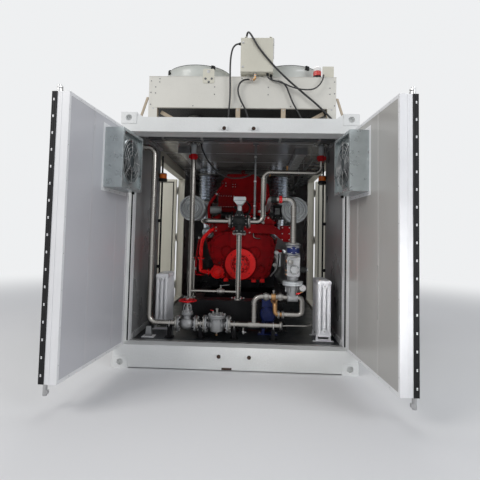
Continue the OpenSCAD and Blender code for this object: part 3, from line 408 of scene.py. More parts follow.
class Shape:
    """Collects solids of one piece in container millimetres, then makes the object."""

    def __init__(self, name, body="container", slot=None, place=None):
        self.name, self.body, self.slot, self.place = name, body, slot, place or Matrix.Identity(4)
        self.bm = bmesh.new()
        self.mats = []

    def put(self, verts, faces, mat=None):
        """Adds faces; where no finish is named, the piece's slot names it."""
        mat = mat or self.slot
        if mat not in self.mats:
            self.mats.append(mat)
        made = [self.bm.verts.new(v) for v in verts]
        for f in faces:
            face = self.bm.faces.new([made[i] for i in f])
            face.material_index = self.mats.index(mat)

    def box(self, a, b, mat=None):
        """Box between two opposite corners."""
        lo = [min(p, q) for p, q in zip(a, b)]
        hi = [max(p, q) for p, q in zip(a, b)]
        v = [(x, y, z) for z in (lo[2], hi[2]) for y in (lo[1], hi[1]) for x in (lo[0], hi[0])]
        self.put(v, [(0, 2, 3, 1), (4, 5, 7, 6), (0, 1, 5, 4), (2, 6, 7, 3), (0, 4, 6, 2), (1, 3, 7, 5)], mat)

    def frame(self, u0, z0, u1, z1, w, v0, v1, mat=None):
        """Four bars of width w inside an upright rectangle, from v0 to v1."""
        inner0, inner1 = u0 + w, u1 - w
        for a, b, c, d in ((u0, z0, inner0, z1), (inner1, z0, u1, z1), (inner0, z0, inner1, z0 + w),
                           (inner0, z1 - w, inner1, z1)):
            self.box((a, v0, b), (c, v1, d), mat)

    def plate(self, outline, start, depth, mat=None):
        """Upright outline seen from the front, pushed out towards the front."""
        self.slab(outline, start, depth, RIGHT, UP, mat)

    def slab(self, outline, start, depth, x, y, mat=None):
        """Outline in the plane of x and y at start, pushed out along x cross y by depth."""
        x, y = Vector(x), Vector(y)
        n = x.cross(y).normalized() * depth
        base = [Vector(start) + x * p[0] + y * p[1] for p in outline]
        k = len(base)
        ends = [tuple(range(k - 1, -1, -1)), tuple(range(k, 2 * k))]
        sides = [(i, (i + 1) % k, (i + 1) % k + k, i + k) for i in range(k)]
        self.put(base + [p + n for p in base], ends + sides, mat)

    def lathe(self, start, along, profile, n=24, mat=None, closed=False):
        """Rings of (radius, distance along) about the line from start; a radius of 0 closes an end."""
        x, y = across(along)
        z = unit(along)
        start = Vector(start)
        verts, rings = [], []
        for r, t in profile:
            c = start + z * t
            if r <= 0:
                rings.append([len(verts)])
                verts.append(c)
            else:
                rings.append(list(range(len(verts), len(verts) + n)))
                verts += [c + (x * cos + y * sin) * r for cos, sin in around(n)]
        faces = []
        pairs = list(zip(rings, rings[1:]))
        if closed:
            pairs.append((rings[-1], rings[0]))
        for a, b in pairs:
            for i in range(n):
                j = (i + 1) % n
                if len(a) == 1 and len(b) == 1:
                    continue
                if len(a) == 1:
                    faces.append((a[0], b[j], b[i]))
                elif len(b) == 1:
                    faces.append((a[i], a[j], b[0]))
                else:
                    faces.append((a[i], a[j], b[j], b[i]))
        if not closed:
            if len(rings[0]) > 1:
                faces.append(tuple(reversed(rings[0])))
            if len(rings[-1]) > 1:
                faces.append(tuple(rings[-1]))
        self.put(verts, faces, mat)

    def cyl(self, a, b, r, n=24, mat=None):
        """Cylinder from a to b."""
        a, b = Vector(a), Vector(b)
        self.lathe(a, b - a, [(r, 0), (r, (b - a).length)], n, mat)

    def ring(self, centre, axis, r, tube, n=40, m=12, mat=None):
        """Round torus."""
        self.lathe(centre, axis, [(r + tube * c, tube * d) for c, d in around(m)], n, mat, closed=True)

    def tube(self, points, r, n=14, bend=None, mat=None):
        """Pipe or cable through the points, with corners rounded to the bend radius."""
        pts = [Vector(p) for p in points]
        line = [pts[0]]
        for i in range(1, len(pts) - 1):
            a, b = (pts[i - 1] - pts[i]), (pts[i + 1] - pts[i])
            size = min(bend or math.inf, a.length * 0.49, b.length * 0.49)
            a, b = a.normalized(), b.normalized()
            if bend is None or a.dot(b) < -0.999:
                line.append(pts[i])
                continue
            for k in range(BEND_STEPS + 1):
                t = k / BEND_STEPS
                line.append(pts[i] + a * size * (1 - t) ** 2 + b * size * t ** 2)
        line.append(pts[-1])
        x = across(line[1] - line[0])[0]
        verts = []
        for i, p in enumerate(line):
            d = (line[min(i + 1, len(line) - 1)] - line[max(i - 1, 0)]).normalized()
            x = (x - d * x.dot(d)).normalized()
            y = d.cross(x)
            verts += [p + (x * c + y * s) * r for c, s in around(n)]
        last = (len(line) - 1) * n
        faces = [(i + j, i + (j + 1) % n, i + n + (j + 1) % n, i + n + j) for i in range(0, last,
                n) for j in range(n)]
        self.put(verts, faces + [tuple(range(n - 1, -1, -1)), tuple(range(last, last + n))], mat)

    def bolt(self, p, axis, size, mat="zinc_steel"):
        """Hexagon head with its washer, standing on p."""
        h = size * 0.62
        head = [(size * 0.56, 0), (size * 0.56, h * 0.6), (size * 0.46, h * 0.75)]
        self.lathe(p, axis, [(size * 0.78, 0), (size * 0.78, h * 0.25)], 12, mat)
        self.lathe(Vector(p) + unit(axis) * h * 0.25, axis, head, 6, mat)

    def bolts(self, centre, axis, r, count, size, mat="zinc_steel", first=0.0):
        """Bolts at equal steps round a circle."""
        x, y = across(axis)
        for c, d in around(count, first=first):
            self.bolt(Vector(centre) + (x * c + y * d) * r, axis, size, mat)

    def screw(self, p, axis, r, mat="zinc_steel"):
        """Low round head with its cross slot left as a dimple."""
        head = [(r, 0), (r * 0.9, r * 0.35), (r * 0.45, r * 0.55), (r * 0.3, r * 0.3), (0, r * 0.3)]
        self.lathe(p, axis, head, 10, mat)

    def screws(self, a, b, count, axis, r):
        """A row of screws from a to b."""
        a, b = Vector(a), Vector(b)
        for i in range(count):
            self.screw(a.lerp(b, (i + 0.5) / count), axis, r)

    def done(self, bevel=0.0, segments=2, replaces=()):
        """Makes the object, gives it its finishes and body, and says what it replaces."""
        me = bpy.data.meshes.new(self.name)
        whole = TO_ROW @ self.place
        self.bm.transform(whole)
        if whole.determinant() < 0:
            bmesh.ops.reverse_faces(self.bm, faces=self.bm.faces)
        bmesh.ops.recalc_face_normals(self.bm, faces=self.bm.faces)
        self.bm.to_mesh(me)
        self.bm.free()
        for m in self.mats:
            me.materials.append(MATS[m])
        ob = bpy.data.objects.new(self.name, me)
        scene.collection.objects.link(ob)
        me.shade_smooth()
        me.set_sharp_from_angle(angle=SHARP)
        if bevel:
            bevel_edges(ob, bevel, segments)
        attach(ob, self.body)
        if replaces:
            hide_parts(*replaces)


# Cables
ROUTES = {
    "cable_left": (20, [
        [-18, 500, 3557], [-48, 500, 3557], [-80, 497, 3545], [-108, 488, 3508], [-124, 476, 3450],
        [-133, 462, 3370], [-136, 450, 3270], [-134, 445, 3150], [-131, 447, 3020], [-132, 452, 2890],
        [-140, 460, 2760], [-148, 468, 2650], [-150, 470, 2572]
    ]),
    "cable_diagonal": (22, [
        [40, 505, 3590], [40, 505, 3615], [44, 493, 3645], [54, 460, 3667], [70, 425, 3658],
        [92, 400, 3622], [125, 392, 3565], [175, 392, 3480], [260, 394, 3370], [380, 405, 3240],
        [520, 425, 3110], [680, 448, 2980], [840, 462, 2850], [960, 470, 2740], [1050, 475, 2640],
        [1070, 478, 2572]
    ]),
    "cable_loop": (20, [
        [88, 455, 3120], [58, 455, 3120], [15, 452, 3108], [-22, 450, 3072], [-40, 450, 3015],
        [-35, 451, 2950], [-5, 454, 2870], [38, 458, 2790], [72, 463, 2700], [88, 466, 2630],
        [92, 468, 2572]
    ]),
    "cable_box": (18, [
        [332, 490, 3190], [332, 490, 3165], [346, 482, 3130], [385, 472, 3112], [430, 466, 3106],
        [474, 462, 3082], [512, 460, 3030], [544, 460, 2950], [582, 461, 2860], [634, 463, 2765],
        [690, 466, 2660], [720, 468, 2572]
    ]),
    "cable_beacon": (16, [
        [290, 450, 3190], [290, 450, 3165], [306, 445, 3132], [345, 436, 3108], [410, 428, 3090],
        [480, 418, 3060], [560, 408, 3022], [650, 404, 2996], [740, 410, 2990], [820, 425, 3010],
        [878, 440, 3060], [912, 450, 3120], [926, 470, 3174], [932, 505, 3198], [932, 539.6, 3199]
    ]),
    "cable_ceiling": (20, [
        [-500, 900, 2480], [-500, 900, 2450], [-488, 900, 2400], [-450, 900, 2320], [-395, 900, 2235],
        [-325, 900, 2155], [-230, 900, 2088], [-130, 900, 2054], [-30, 898, 2052], [60, 893, 2072],
        [158, 875, 2118]
    ]),
}


def spline_points(points, steps=8):
    """Centripetal curve through the points, close enough together to be smooth."""
    p = [Vector(q) for q in points]
    p = [p[0] * 2 - p[1]] + p + [p[-1] * 2 - p[-2]]
    out = []
    for i, k in pairs(range(1, len(p) - 2), range(steps)):
        t = k / steps
        a, b, c, d = p[i - 1], p[i], p[i + 1], p[i + 2]
        out.append(0.5 * (2 * b + (c - a) * t + (2 * a - 5 * b + 4 * c - d) * t * t
                          + (3 * b - a - 3 * c + d) * t ** 3))
    return out + [p[-2]]


for name, (diameter, points) in ROUTES.items():
    line = [row(p) for p in spline_points(points)]
    curve = bpy.data.curves.new(name + "_run", "CURVE")
    curve.dimensions = "3D"
    curve.bevel_depth = diameter / 2000
    curve.bevel_resolution = 5
    curve.use_fill_caps = True
    run = curve.splines.new("POLY")
    run.points.add(len(line) - 1)
    for point, p in zip(run.points, line):
        point.co = (*p, 1)
    run.use_smooth = True
    ob = bpy.data.objects.new(name + "_run", curve)
    scene.collection.objects.link(ob)
    curve.materials.append(MATS["cable_black"])
    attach(ob, "container")
    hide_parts(name)


# Finishes of the CAD nodes
FINISH = {
    "white_paint": [
        "front_sill", "front_header", "rear_frame", "left_front_post", "right_front_post", "base_frame",
        "top_rails", "left_wall_front", "left_wall_rear", "right_wall_front", "right_wall_rear",
        "rear_wall", "roof_panel"
    ],
    "floor_plate": ["floor_plate"],
    # the two leaves' copies of one lining colour: painted light on the left, painted shade on the right
    "lining_left": ["left_door_leaf"],
    "lining_right": ["right_door_leaf"],
    "seal_rubber": ["left_door_gasket", "right_door_gasket"],
    "zinc_steel": ["left_door_lock", "right_door_lock"],
    "trunking_grey": ["interior_fittings"],
    "duct_sheet": ["left_fan_box", "right_fan_box"],
    "cream_paint": [
        "left_doorway", "right_doorway", "left_side_door_near", "left_side_door_far",
        "right_side_door_near", "right_side_door_far", "control_box", "roof_fittings"
    ],
    "skid_black": ["engine_skid"],
    "engine_red": ["gear_cover", "cylinder_banks", "intake_housing"],
    "block_red": ["engine_block"],
    "pump_red": ["crank_damper", "water_pump"],
    "filter_grey": ["air_filters"],
    "bellows_steel": ["exhaust_bellows"],
    "alternator_grey": ["alternator"],
    "valve_black": ["three_way_valve"],
    "stainless": ["cooling_pipes", "gas_pipes"],
    "valve_silver": ["gate_valve", "gas_filter", "gas_valve_stack"],
    "wheel_red": ["gate_handwheel"],
    "blue_paint": ["circulation_pump"],
    "heater_white": ["column_heaters"],
    "cooler_paint": ["cooler_casing"],
    "shroud_paint": ["fan_shrouds"],
    "brace_beige": ["cooler_frame"],
    "coil_black": ["cooler_coil"],
    "cable_black": [n for n in nodes if n.startswith("cable_")],
}
for finish, names in FINISH.items():
    for n in names:
        nodes[n].data.materials.clear()
        nodes[n].data.materials.append(MATS[finish])


# Front doors
def leaf_place(side):
    """Where a front door's own frame stands: its hinge line, turned open."""
    m = Matrix.Translation((-1214, 30, 0)) @ Matrix.Rotation(-DOOR_OPEN, 4, "Z")
    return m if side == "left" else Matrix.Diagonal((-1, 1, 1, 1)) @ m


INNER_V, STEEL_V, LEAF_U0, LEAF_U1, LEAF_Z0, LEAF_Z1 = 107, -28, 26, 1190, 240, 2383
BOX_U0, BOX_U1, BOX_Z0, BOX_Z1, BOX_V = 125, 595, 1742, 2276, 279


def door_panel(side):
    """Lining sheets with their joints, the white edge frame and the outside ribs of one leaf."""
    s = Shape(side + "_door_panel", side + "_front_door", "door_lining", leaf_place(side))
    # this side's copy of the lining colour: painted light on the left leaf, painted shade on the right one
    lining = "lining_" + side
    joints = [LEAF_U0 + 34, 300, 790, LEAF_U1 - 24]
    for a, b in zip(joints, joints[1:]):
        s.box((a + 0.8, INNER_V, LEAF_Z0 + 24), (b - 0.8, INNER_V + 1.2, LEAF_Z1 - 24), lining)
    s.box((LEAF_U0, INNER_V, LEAF_Z0 + 24), (LEAF_U0 + 10, INNER_V + 1.2, LEAF_Z1 - 24), lining)
    for u in joints[1:-1]:
        s.box((u - 15, INNER_V + 1.2, LEAF_Z0 + 24), (u + 15, INNER_V + 2.6, LEAF_Z1 - 24), lining + "_strip")
    s.frame(LEAF_U0 + 10, LEAF_Z0, LEAF_U1, LEAF_Z1, 26, INNER_V, INNER_V + 3, "white_trim")
    for u in (LEAF_U0 + 23, LEAF_U1 - 12):
        s.screws((u, INNER_V + 2, LEAF_Z0), (u, INNER_V + 2, LEAF_Z1), 8, BACK, 4.5)
    for z in (LEAF_Z0 + 13, LEAF_Z1 - 13):
        s.screws((LEAF_U0 + 60, INNER_V + 3, z), (LEAF_U1 - 60, INNER_V + 3, z), 5, BACK, 4.5)
    # white cover of the free edge, top, bottom and hinge edges
    s.box((LEAF_U1, 13, LEAF_Z0), (LEAF_U1 + 1.5, INNER_V + 3, LEAF_Z1), "white_trim")
    s.box((LEAF_U1 + 1.5, 40, LEAF_Z0 + 6), (LEAF_U1 + 4, 52, LEAF_Z1 - 6), "white_trim")
    for z in (LEAF_Z0 - 1.5, LEAF_Z1):
        s.box((LEAF_U0, STEEL_V, z), (LEAF_U1, INNER_V + 3, z + 1.5), "white_trim")
    s.box((LEAF_U0 - 1.5, STEEL_V + 56, LEAF_Z0), (LEAF_U0, INNER_V + 3, LEAF_Z1), "white_trim")
    # outside: pressed steel face with upright ribs in a flat border
    s.box((LEAF_U0, STEEL_V - 1.5, LEAF_Z0), (LEAF_U1, STEEL_V, LEAF_Z1), "white_paint")
    n, border = 7, 60
    width = (LEAF_U1 - LEAF_U0 - 2 * border) / n
    for i in range(n):
        u = LEAF_U0 + border + i * width
        for z0, z1 in ((LEAF_Z0 + 70, 1120), (1290, LEAF_Z1 - 70)):
            s.slab([(0.12 * width, 0), (0.88 * width, 0), (0.72 * width, 5), (0.28 * width, 5)],
                    (u, STEEL_V - 1.5, z1), z1 - z0, RIGHT, FORE, "white_paint")
    s.done(bevel=0.8, segments=1)


def door_gasket(side):
    """Ribbed rubber on the free edge, held by a row of rivets."""
    s = Shape(side + "_door_seal", side + "_front_door", "seal_rubber", leaf_place(side))
    u = LEAF_U1
    s.slab([(0, -28), (8, -28), (8, -22), (6.5, -19), (8, -16), (8, -4), (6.5, -1), (8, 2), (8, 12), (0, 12)],
            (u, 0, LEAF_Z0), LEAF_Z1 - LEAF_Z0, RIGHT, BACK)
    count = 17
    for i in range(count):
        z = LEAF_Z0 + (i + 0.5) * (LEAF_Z1 - LEAF_Z0) / count
        s.box((u + 8, -15, z - 9), (u + 9.6, -5, z + 9), "white_trim")
        s.lathe((u + 9.6, -10, z), RIGHT, [(3.4, 0), (2.6, 1.6), (0, 2.2)], 10, "zinc_steel")
    s.done(replaces=[side + "_door_gasket"])


def fan_detail(side):
    """Flanges, screws, guard, fan and motor of a door's fan box."""
    s = Shape(side + "_fan", side + "_front_door", "duct_sheet", leaf_place(side))
    cu, cz, r = (BOX_U0 + BOX_U1) / 2, (BOX_Z0 + BOX_Z1) / 2, 200
    face = BOX_V
    # frame round the open face, with screws
    s.frame(BOX_U0, BOX_Z0, BOX_U1, BOX_Z1, 26, face, face + 2.5)
    for z in (BOX_Z0 + 13, BOX_Z1 - 13):
        s.screws((BOX_U0, face + 2.5, z), (BOX_U1, face + 2.5, z), 4, BACK, 5)
    for u in (BOX_U0 + 13, BOX_U1 - 13):
        s.screws((u, face + 2.5, BOX_Z0), (u, face + 2.5, BOX_Z1), 4, BACK, 5)
    # dark sheet inside the box, as painted shade of its hollow, so the fan stands before a dark ground
    s.box((BOX_U0 + 12, INNER_V + 12, BOX_Z0 + 12), (BOX_U1 - 12, INNER_V + 14, BOX_Z1 - 12), "duct_dark")
    # white flange of the box on the door, with screws
    f0, f1, g0, g1 = BOX_U0 - 34, BOX_U1 + 34, BOX_Z0 - 34, BOX_Z1 + 34
    s.frame(f0, g0, f1, g1, 34, INNER_V, INNER_V + 3.5, "white_trim")
    for z in (g0 + 15, g1 - 15):
        s.screws((f0, INNER_V + 4, z), (f1, INNER_V + 4, z), 5, BACK, 4.5)
    # sheet folds and screws of both sides
    for u, out in ((BOX_U1, 1), (BOX_U0, -1)):
        s.box((u, INNER_V, BOX_Z0 + 8), (u + out * 1.2, INNER_V + 22, BOX_Z1 - 8))
        s.box((u, face - 20, BOX_Z0 + 8), (u + out * 1.2, face - 2, BOX_Z1 - 8))
        for z in (cz - 34, cz + 34):
            s.screw((u, (INNER_V + face) / 2 + 8, z), (out, 0, 0), 6)
        for z in (BOX_Z0 + 40, cz, BOX_Z1 - 40):
            s.screw((u + out * 1.2, INNER_V + 11, z), (out, 0, 0), 4.5)
    # bell mouth, blades, motor with fins, and the wire guard
    s.lathe((cu, face - 34, cz), BACK, [(r + 14, 0), (r + 10, 8), (r, 16), (r - 4, 16), (r - 4, -40), (r, -40),
            (r, 0)], 48, closed=True)
    for ru, rz in around(6, 0.3):
        tu, tz = -rz, ru
        outline = [(70, -34, -16), (190, -58, -26), (192, 40, 22), (70, 30, 16)]
        near = [Vector((cu + ru * a + tu * b, face - 62 + c, cz + rz * a + tz * b)) for a, b, c in outline]
        s.put(near + [p + Vector((0, 3, 0)) for p in near],
                [(0, 1, 2, 3), (7, 6, 5, 4), (0, 4, 5, 1), (1, 5, 6, 2), (2, 6, 7, 3), (3, 7, 4, 0)], "duct_dark")
    s.lathe((cu, INNER_V + 14, cz), BACK, [(66, 0), (66, 84), (60, 90), (60, 104), (76, 106), (76, 128),
            (60, 134), (0, 134)], 32, "duct_dark")
    for c, d in around(20):
        s.slab(rect(64, -1.5, 74, 1.5), (cu, INNER_V + 20, cz), 70, (c, 0, d), (d, 0, -c), "duct_dark")
    s.box((cu - 40, INNER_V + 26, cz + 62), (cu + 30, INNER_V + 78, cz + 104), "trunking_grey")
    for z in (cz - 95, cz + 95):
        s.box((BOX_U0 + 12, INNER_V + 40, z - 12), (BOX_U1 - 12, INNER_V + 44, z + 12), "zinc_steel")
    for rr in (60, 95, 130, 165, 198):
        s.ring((cu, face - 8, cz), BACK, rr, 2.2, 44, 6, "zinc_steel")
    for c, d in around(8):
        s.cyl((cu + c * 58, face - 8, cz + d * 58), (cu + c * 208, face - 10, cz + d * 208), 2.4, 6, "zinc_steel")
    # cable gland under the box
    s.cyl((BOX_U0 + 60, face - 60, BOX_Z0), (BOX_U0 + 60, face - 60, BOX_Z0 - 24), 14, 16, "valve_black")
    s.done(bevel=0.6, segments=1)


def door_hardware(side):
    """Bracket bolts, cams, handle catch and hinge caps."""
    s = Shape(side + "_door_hardware", side + "_front_door", "zinc_steel", leaf_place(side))
    rod_u, rod_v = 1064, -53
    for z in (364, 2459):
        s.lathe((rod_u, rod_v, z - 22), UP, [(18, 0), (18, 44)], 20)
        s.slab(both_sides([(20, 0), (26, 12), (10, 26)]), (rod_u, rod_v, z - 4), 14, RIGHT, BACK)
    hinge = [LEAF_Z0 + 200 + i * (LEAF_Z1 - LEAF_Z0 - 400) / 3 for i in range(4)]
    for z in hinge:
        for u, dz in pairs((rod_u - 26, rod_u + 26), (-20, 20)):
            s.bolt((u, STEEL_V - 16, z + dz), FORE, 11)
        s.slab([(-30, 2), (-24, -22), (24, -22), (30, 2), (22, 2), (18, -14), (-18, -14), (-22, 2)],
                (rod_u, rod_v, z - 18), 36, RIGHT, BACK)
        for dz in (-58, 56):
            s.lathe((0, 0, z + dz), UP, [(13, -4), (15, 0), (15, 4), (9, 7)], 16)
    s.cyl((rod_u - 418, rod_v - 8, 1200), (rod_u - 300, rod_v - 8, 1200), 13, 16, "valve_black")
    s.plate(rect(-46, -34, 46, 34), (rod_u - 330, STEEL_V - 2, 1200), 2)
    s.done(bevel=0.6, segments=1)


for side in ("left", "right"):
    door_panel(side)
    door_gasket(side)
    fan_detail(side)
    door_hardware(side)


# Linings, ceiling and front frame
def linings():
    """Lining sheets of walls, rear end and ceiling, with cover strips over their joints."""
    s = Shape("wall_linings", slot="white_paint")
    for side in (-1, 1):
        x0, x1 = side * LINING_X, side * (LINING_X - 1.5)
        for y0, y1 in ((INSIDE_Y0, DOORWAY_Y0), (DOORWAY_Y1, INSIDE_Y1)):
            n = max(1, round((y1 - y0) / 920))
            for i in range(n):
                a, b = y0 + (y1 - y0) * i / n, y0 + (y1 - y0) * (i + 1) / n
                s.box((x0, a + 1, FLOOR_Z + 1), (x1, b - 1, CEILING_Z - 1), "wall_lining")
                if i:
                    s.box((x1, a - 16, FLOOR_Z + 1), (x1 - side * 1.2, a + 16, CEILING_Z - 1), "wall_strip")
            s.box((x1, y0, FLOOR_Z + 1), (x1 - side * 14, y1, FLOOR_Z + 60), "wall_strip")
            s.box((x1, y0, CEILING_Z - 36), (x1 - side * 30, y1, CEILING_Z - 2), "wall_strip")
    n, start, length = 9, 232, 5680
    for i in range(n):
        a, b = start + length * i / n, start + length * (i + 1) / n
        s.box((-LINING_X, a + 1.5, CEILING_Z - 1.5), (LINING_X, b - 1.5, CEILING_Z), "ceiling_lining")
        if i:
            s.box((-LINING_X, a - 18, CEILING_Z - 3), (LINING_X, a + 18, CEILING_Z - 1.5), "wall_strip")
    for x in (-LINING_X, 0):
        s.box((x + 1, INSIDE_Y1, FLOOR_Z + 1), (x + LINING_X - 1, INSIDE_Y1 + 1.5, CEILING_Z - 90), "wall_lining")
    s.done(bevel=0.5, segments=1)


def front_frame_detail():
    """Weld beads, gussets beside the castings, wear strips and the front post returns."""
    s = Shape("front_frame_detail", slot="white_paint")
    for side in (-1, 1):
        # sloped gusset between casting and header
        s.slab([(0, 0), (70, 0), (0, 46)], (side * CASTING_X, 93 - side * 85, 2542), 170, (-side, 0, 0), UP)
        # inner return of the corner post, with its rubber stop
        s.box((side * 1106, 142, FLOOR_Z), (side * 1100, 228, 2391), "white_trim")
        s.box((side * 1107, 140.8, FLOOR_Z + 4), (side * 1122, 142, 2387), "seal_rubber")
        for z in (118, 2473):
            s.tube([(side * CASTING_X, 5, z - 108 if z < 200 else z),
                    (side * CASTING_X, 5, z if z < 200 else z + 60)], 3, 8)
    # drip lip under the header and the threshold strip on the sill
    s.box((-1100, 150, 2389), (1100, 158, 2391), "white_trim")
    s.box((-1105, 160, FLOOR_Z), (1105, 228, FLOOR_Z + 3), "zinc_steel")
    for i in range(12):
        s.screw((-1010 + i * 184, 194, FLOOR_Z + 3), UP, 7)
    # forklift-worn notch in the lower edge of the sill
    s.box((-120, 4.5, 12), (-20, 6, 34), "rust_dark")
    for x, z in pairs((-150, 150), (140, 2433)):
        for e in (-1, 1):
            s.tube([(x + e * 32, 4, z - 20), (x + e * 32, 4, z + 20)], 3, 8)
        s.lathe((x, 5.5, z), FORE, [(20, 0), (20, 1.5)], 16, "rust_dark")
    s.done(bevel=0.6, segments=1)


linings()
front_frame_detail()


# Pipework and valves
# Gas run and water pipes: depths, and the heights of their level stretches
TRAIN_Y, RUN_Z, LINE_Z, RISE_Z = 355, 384, 690, 1745
WATER_Y, WATER_Z, CROSS_Z, LOW_Z, PIPE_R = 860, 1515, 2124, 665, 30


def flange_pair(s, centre, axis, r, half):
    """A valve's flange with its mating pipe flange, gasket line, bolts and nuts."""
    c, z = Vector(centre), unit(axis)
    s.lathe(c - z * half, z, collar(r - 3, r, 3, 2 * half), 32)
    s.lathe(c + z * half, z, [(r * 0.78, 0), (r * 0.78, 2.5)], 32, "seal_rubber")
    s.lathe(c + z * (half + 2.5), z, [(r, 0), (r, 12), (r - 3, 15), (r * 0.52, 15), (r * 0.47, 26)], 32,
            "cast_flange")
    for p, out in ((c + z * (half + 17.5), z), (c - z * half, -z)):
        s.bolts(p, out, r * 0.8, 8, 15, first=0.5)


def coupling(s, centre, axis, w):
    """Grooved pipe coupling: two shells, with the bolt lugs on either side."""
    c, z = Vector(centre), unit(axis)
    x, r = across(axis)[0], PIPE_R
    s.lathe(c - z * w / 2, z, [(r + 2, 0), (r + 9, 3), (r + 10, w * 0.3), (r + 10, w * 0.7), (r + 9, w - 3),
            (r + 2, w)], 28, "wheel_red")
    for e in (-1, 1):
        p = c + x * e * (r + 15)
        y = z.cross(x)
        s.slab(rect(-9, -w * 0.3, 9, w * 0.3), p - y * 12, 24, x, z, "wheel_red")
        s.bolt(p + y * 12 * (1 if y.y < 0 else -1), y * (1 if y.y < 0 else -1), 14)


def weld(s, centre, axis):
    """Low weld bead round a pipe."""
    s.ring(centre, axis, PIPE_R + 0.5, 1.6, 28, 8, "cast_flange")


def water_detail():
    """Couplings, welds, flange bolts, ball valve and vent of the water pipes."""
    s = Shape("water_pipe_detail", slot="stainless")
    left_x, mid_x, riser_x, coil_x = -590, -8, 277, 970
    for x in (left_x, coil_x):
        coupling(s, (x, WATER_Y, 2300), UP, 70)
        s.lathe((x, WATER_Y, 2335), UP, [(33, 0), (33, 128)], 24, "filter_grey")
        s.bolts((x, WATER_Y, CEILING_Z - 16), DOWN, 66, 8, 14)
        s.box((x - 95, WATER_Y - 95, CEILING_Z - 6), (x + 95, WATER_Y + 95, CEILING_Z - 2), "valve_silver")
    for x, r in ((left_x, 62), (mid_x, 68)):
        s.bolts((x, WATER_Y, 593), UP, r, 6, 16)
    for x, z, axis in ((left_x, 705, UP), (left_x, 1500, UP), (mid_x, 740, UP), (mid_x, 1290, UP),
            (-380, WATER_Z, RIGHT), (riser_x, 1592, UP), (riser_x, 2048, UP), (354, CROSS_Z, RIGHT),
            (700, CROSS_Z, RIGHT), (894, CROSS_Z, RIGHT), (coil_x, 2200, UP)):
        weld(s, (x, WATER_Y, z), axis)
    # ball valve in the low cross pipe, with its lever
    s.lathe((-262, WATER_Y, LOW_Z), RIGHT, mirrored([(27, 0), (33, 6), (33, 22), (40, 30)], 92), 24,
            "cast_flange")
    s.cyl((-216, WATER_Y, 700), (-216, WATER_Y, 735), 9, 12, "cast_flange")
    s.slab(rect(-8, -4, 104, 4), (-216, WATER_Y - 12, 737), 4, (1, 0, 0.1), BACK, "zinc_steel")
    for x in (-568, -32):
        s.lathe((x - 6, WATER_Y, LOW_Z), RIGHT, [(27, 0), (27, 12)], 20, "cast_flange")
    # air vent and small sensor on the crossing pipe
    s.lathe((560, WATER_Y, 2152), UP, [(9, 0), (9, 24), (13, 26), (13, 50), (6, 56)], 16, "brass")
    s.lathe((354, WATER_Y, 2096), DOWN, [(7, 0), (7, 20)], 12, "brass")
    # second thin line beside the left riser
    s.tube([(-548, WATER_Y + 6, 592), (-548, WATER_Y + 6, 1020), (-560, WATER_Y + 40, 1060), (-560, 1400, 1060)],
            9, 12, 30)
    s.done(bevel=0.5, segments=1)


def three_way_detail():
    """Cast body with its ribs, flanges and bolts, the yoke and the square actuator."""
    s = Shape("three_way_valve_body", slot="valve_black")
    x, y, z = -8, WATER_Y, WATER_Z
    s.lathe((x - 88, y, z), RIGHT, mirrored([(50, 0), (52, 12), (66, 34), (74, 60), (76, 88)], 176), 32)
    s.lathe((x, y, z), DOWN, [(60, 0), (60, 60), (52, 84), (50, 124)], 32)
    for e in (-1, 1):
        flange_pair(s, (x + e * 95, y, z), (e, 0, 0), 82.5, 9)
        s.slab(rect(0, -8, 40, 8), (x + e * 30, y - 62, z + 50 * e), 8, (e, 0, 0), UP)
    flange_pair(s, (x, y, z - 129), DOWN, 82.5, 9)
    s.lathe((x, y, z + 60), UP, [(54, 0), (54, 12), (42, 16), (42, 60), (28, 70)], 28)
    s.bolts((x, y, z + 72), UP, 47, 6, 13)
    # cast arrow rib on the front of the body
    s.plate([(-30, -30), (-14, -34), (34, 26), (20, 34)], (x, y - 71, z), 6)
    # yoke, stem and actuator
    for e in (-1, 1):
        s.slab(rect(0, 0, 7, 96), (x + e * 26, y - 9, z + 124), 18 * e, (-e, 0, 0), UP, "filter_grey")
    s.cyl((x, y, z + 120), (x, y, z + 222), 8, 16, "zinc_steel")
    s.lathe((x, y, z + 112), UP, [(20, 0), (26, 4), (26, 84), (34, 94), (34, 104)], 28, "filter_grey")
    s.plate(both_sides([(34, 0), (66, 40), (74, 46), (74, 84), (66, 94)]),
            (x, y + 54, z + 204), 108, "filter_grey")
    s.plate(rect(-76, 0, 76, 4), (x, y + 56, z + 252), 112, "alternator_grey")
    for e, k in pairs((-1, 1), (-1, 1)):
        s.screw((x + e * 62, y + k * 42, z + 298), UP, 6)
    s.cyl((x + 74, y, z + 244), (x + 96, y, z + 244), 9, 14)
    s.done(bevel=1.2, segments=2, replaces=["three_way_valve"])


